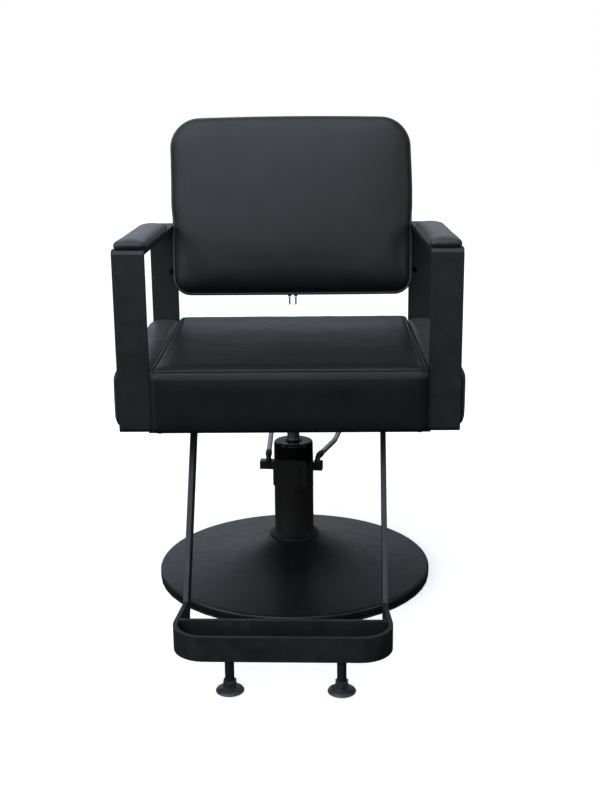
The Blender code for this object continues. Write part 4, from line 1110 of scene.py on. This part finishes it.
def build_base():
    """The pressed bell cover, finely turned: bell, rolled rim, and its underside."""
    base_r, rim_z, bell_r, hole_r, skin, foot = 0.300, 0.0226, 0.0550, 0.0455, 0.0022, 0.0045

    def bell(r):
        u = (base_r - 0.006 - r) / (base_r - 0.006 - bell_r)
        return rim_z + 0.0366 * u + 0.0268 * u ** 5

    prof = [(hole_r, bell(bell_r) - 0.0002)]
    prof += [(r, bell(r)) for r in bell_r + (base_r - 0.006 - bell_r) * np.linspace(0, 1, 44) ** 1.5]
    prof += [(base_r - 0.006 + 0.006 * math.sin(a), rim_z - 0.006 + 0.006 * math.cos(a))
             for a in np.radians((20, 40, 60, 78, 90))]
    prof += [(base_r, rim_z - 0.010), (base_r, foot + 0.002), (base_r - 0.0006, foot + 0.0006),
             (base_r - 0.0012, foot), (base_r - skin, foot), (base_r - skin, rim_z - 0.0072)]
    prof += [(r, bell(r) - skin - 0.0002) for r in bell_r + (base_r - 0.0085 - bell_r) * np.linspace(1, 0, 16) ** 1.5]
    prof += [(hole_r, bell(bell_r) - skin - 0.0002)]
    steps = 168
    verts, faces = [], []
    for k in range(steps):
        a = 2 * math.pi * k / steps
        verts += [(r * math.cos(a), r * math.sin(a), z) for r, z in prof]
    m = len(prof)
    for k in range(steps):
        n = (k + 1) % steps
        for q in range(m):
            r = (q + 1) % m
            faces.append((k * m + q, k * m + r, n * m + r, n * m + q))
    ob = add_mesh("base_cover_turned", verts, faces, BASE, fix_normals=True)
    split = ob.modifiers.new("corners", "EDGE_SPLIT")
    split.split_angle = math.radians(38)
    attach(ob, "base")
    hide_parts("base_cover")


def build_spring():
    """The plunger's return spring: its foot stays in the barrel and its top goes down with the plunger."""
    lo, hi = (np.array(c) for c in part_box("plunger_spring"))
    mid, wire, coil_r, turns, step, sides = (lo + hi) / 2, 0.0009, 0.0046, 5, 24, 8
    z0, z1 = lo[2] + wire, hi[2] - wire
    rings = turns * step + 1
    verts, faces = [], []
    for k in range(rings):
        a = math.tau * k / step
        out = np.array((math.cos(a), math.sin(a), 0.0))
        along = np.array((-math.sin(a), math.cos(a), (z1 - z0) / (turns * math.tau * coil_r)))
        up = np.cross(out, along / np.linalg.norm(along))
        place = np.array((mid[0], mid[1], z0 + (z1 - z0) * k / (rings - 1))) + coil_r * out
        verts += [place + wire * (math.cos(math.tau * q / sides) * out + math.sin(math.tau * q / sides) * up)
                  for q in range(sides)]
    for k in range(rings - 1):
        for q in range(sides):
            r = (q + 1) % sides
            faces.append((k * sides + q, k * sides + r, (k + 1) * sides + r, (k + 1) * sides + q))
    faces += [tuple(range(sides)), tuple((rings - 1) * sides + q for q in range(sides))]
    ob = add_mesh("plunger_coil", verts, faces, STEEL, fix_normals=True)
    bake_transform(ob, "base", "pump_plunger", start=(mid[0], mid[1], z0), end=(mid[0], mid[1], z1))
    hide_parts("plunger_spring")


build_base()
build_spring()
build_seat()
for label, sign_x in (("left", -1), ("right", 1)):
    build_panel(label, sign_x)
    build_arm_pad(label, sign_x)
build_backrest()
build_zip()


# ====================================================================== stage, light, camera
# brightness of the surroundings by height, in front of the chair and behind it, and from left to right
AHEAD = ((-1, 0.03), (-0.30, 0.05), (-0.10, 0.08), (0.0, 0.20), (0.08, 0.60), (0.17, 1.75), (0.32, 2.28), (0.5, 2.35),
         (0.72, 1.90), (0.9, 1.25), (1.0, 0.95))
BEHIND = ((-1, 0.03), (-0.20, 0.05), (0.0, 0.26), (0.10, 0.48), (0.25, 0.45), (0.38, 0.64), (0.5, 0.68), (0.62, 0.34),
          (0.8, 0.16), (1.0, 0.60))
SIDES = ((-1.0, 0.58), (-0.7, 1.00), (-0.3, 1.20), (0.0, 1.02), (0.14, 0.80), (0.3, 0.48), (0.6, 0.36), (1.0, 0.26))
FULL_SKY, FULL_SIDE = 2.45, 1.20     # brightness of a ramp's white
SOFTBOXES = (
    ("softbox_top", (0.0, -0.35, 2.9), (0.0, -0.10, 0.5), (2.6, 2.2), 16),
    ("strip_right", (1.7, -0.75, 0.95), (0.0, 0.0, 0.30), (0.22, 0.9), 2.0),
    ("strip_left", (-1.8, -1.0, 0.50), (0.0, -0.35, 0.20), (0.35, 0.8), 2.4),
)


def build_stage():
    p = Paint("floor_pale")
    cloud = p.noise(0.8, 2)
    p.set(Base_Color=p.tint(p.span(cloud, 0.3, 0.7), (0.80, 0.80, 0.80), (0.83, 0.83, 0.83)), Roughness=0.75,
          Specular_IOR_Level=0.1, Emission_Color=(1.0, 1.0, 1.0), Emission_Strength=0.52)
    s = 14.0
    floor = add_mesh("floor", [(-s, -s, 0), (s, -s, 0), (s, s, 0), (-s, s, 0)], [(0, 1, 2, 3)], p.mat, smooth=False)
    # the white floor throws no light back up at the black chair
    floor.visible_diffuse = floor.visible_glossy = False

    world = bpy.data.worlds.new("studio")
    SCENE.world = world
    world.use_nodes = True
    tree = world.node_tree
    tree.nodes.clear()
    out = tree.nodes.new("ShaderNodeOutputWorld")
    bg = tree.nodes.new("ShaderNodeBackground")
    white = tree.nodes.new("ShaderNodeBackground")
    co = tree.nodes.new("ShaderNodeTexCoord")
    sep = tree.nodes.new("ShaderNodeSeparateXYZ")
    tree.links.new(co.outputs["Generated"], sep.inputs[0])

    def grade(socket, stops, full=1.0, above=(1.0, 1.0, 1.0), below=(1.0, 1.0, 1.0)):
        n = tree.nodes.new("ShaderNodeValToRGB")
        m = tree.nodes.new("ShaderNodeMapRange")
        m.inputs["From Min"].default_value, m.inputs["From Max"].default_value = -1.0, 1.0
        tree.links.new(socket, m.inputs["Value"])
        tree.links.new(m.outputs[0], n.inputs[0])
        e = n.color_ramp.elements
        while len(e) > 1:
            e.remove(e[-1])
        for k, (pos, value) in enumerate(stops):
            item = e[0] if k == 0 else e.new((pos + 1) / 2)
            item.position = (pos + 1) / 2
            hue = above if pos > 0.04 else below
            item.color = (value / full * hue[0], value / full * hue[1], value / full * hue[2], 1)
        return n.outputs[0]

    def blend(how, fac, a, b):
        mix = tree.nodes.new("ShaderNodeMix")
        mix.data_type, mix.blend_type = "RGBA", how
        if isinstance(fac, float):
            mix.inputs[0].default_value = fac
        else:
            tree.links.new(fac, mix.inputs[0])
        tree.links.new(a, mix.inputs[6])
        tree.links.new(b, mix.inputs[7])
        return mix.outputs[2]

    sky, ground = (0.885, 0.965, 1.085), (0.98, 1.03, 0.96)
    ahead = grade(sep.outputs[2], AHEAD, FULL_SKY, sky, ground)
    behind = grade(sep.outputs[2], BEHIND, FULL_SKY, sky, ground)
    which = grade(sep.outputs[1], ((-0.35, 0.0), (0.45, 1.0)))
    sides = grade(sep.outputs[0], SIDES, FULL_SIDE)
    light = blend("MULTIPLY", 1.0, blend("MIX", which, ahead, behind), sides)
    tree.links.new(light, bg.inputs["Color"])
    bg.inputs["Strength"].default_value = FULL_SKY * FULL_SIDE
    path = tree.nodes.new("ShaderNodeLightPath")
    both = tree.nodes.new("ShaderNodeMixShader")
    tree.links.new(path.outputs["Is Camera Ray"], both.inputs[0])
    tree.links.new(bg.outputs[0], both.inputs[1])
    tree.links.new(white.outputs[0], both.inputs[2])
    white.inputs["Color"].default_value = (1.0, 1.0, 1.0, 1.0)
    tree.links.new(both.outputs[0], out.inputs["Surface"])

    def softbox(name, place, aim, size, power):
        light = bpy.data.lights.new(name, "AREA")
        light.shape, light.size, light.size_y = "RECTANGLE", size[0], size[1]
        light.energy = power
        ob = bpy.data.objects.new(name, light)
        ob.location = place
        ob.rotation_euler = (Vector(aim) - Vector(place)).to_track_quat("-Z", "Y").to_euler()
        SCENE.collection.objects.link(ob)
        return ob

    for item in SOFTBOXES:
        softbox(*item)

    yaw, pit, rol = 0.0153, 0.2552, -0.0099
    f = Vector((-math.sin(yaw) * math.cos(pit), math.cos(yaw) * math.cos(pit), -math.sin(pit)))
    r = Vector((math.cos(yaw), math.sin(yaw), 0.0))
    u = r.cross(f)
    r2, u2 = math.cos(rol) * r + math.sin(rol) * u, -math.sin(rol) * r + math.cos(rol) * u
    cam = bpy.data.cameras.new("camera")
    cam.sensor_width, cam.lens = 36.0, 1162.26 * 36.0 / 800.0
    cam.clip_start, cam.clip_end = 0.05, 100.0
    ob = bpy.data.objects.new("camera", cam)
    m = Matrix((r2, u2, -f)).transposed().to_4x4()
    m.translation = Vector((0.0527, -2.4439, 1.0319))
    ob.matrix_world = m
    SCENE.collection.objects.link(ob)
    SCENE.camera = ob
    SCENE.view_settings.view_transform = "Standard"
    SCENE.view_settings.look = "None"


build_stage()
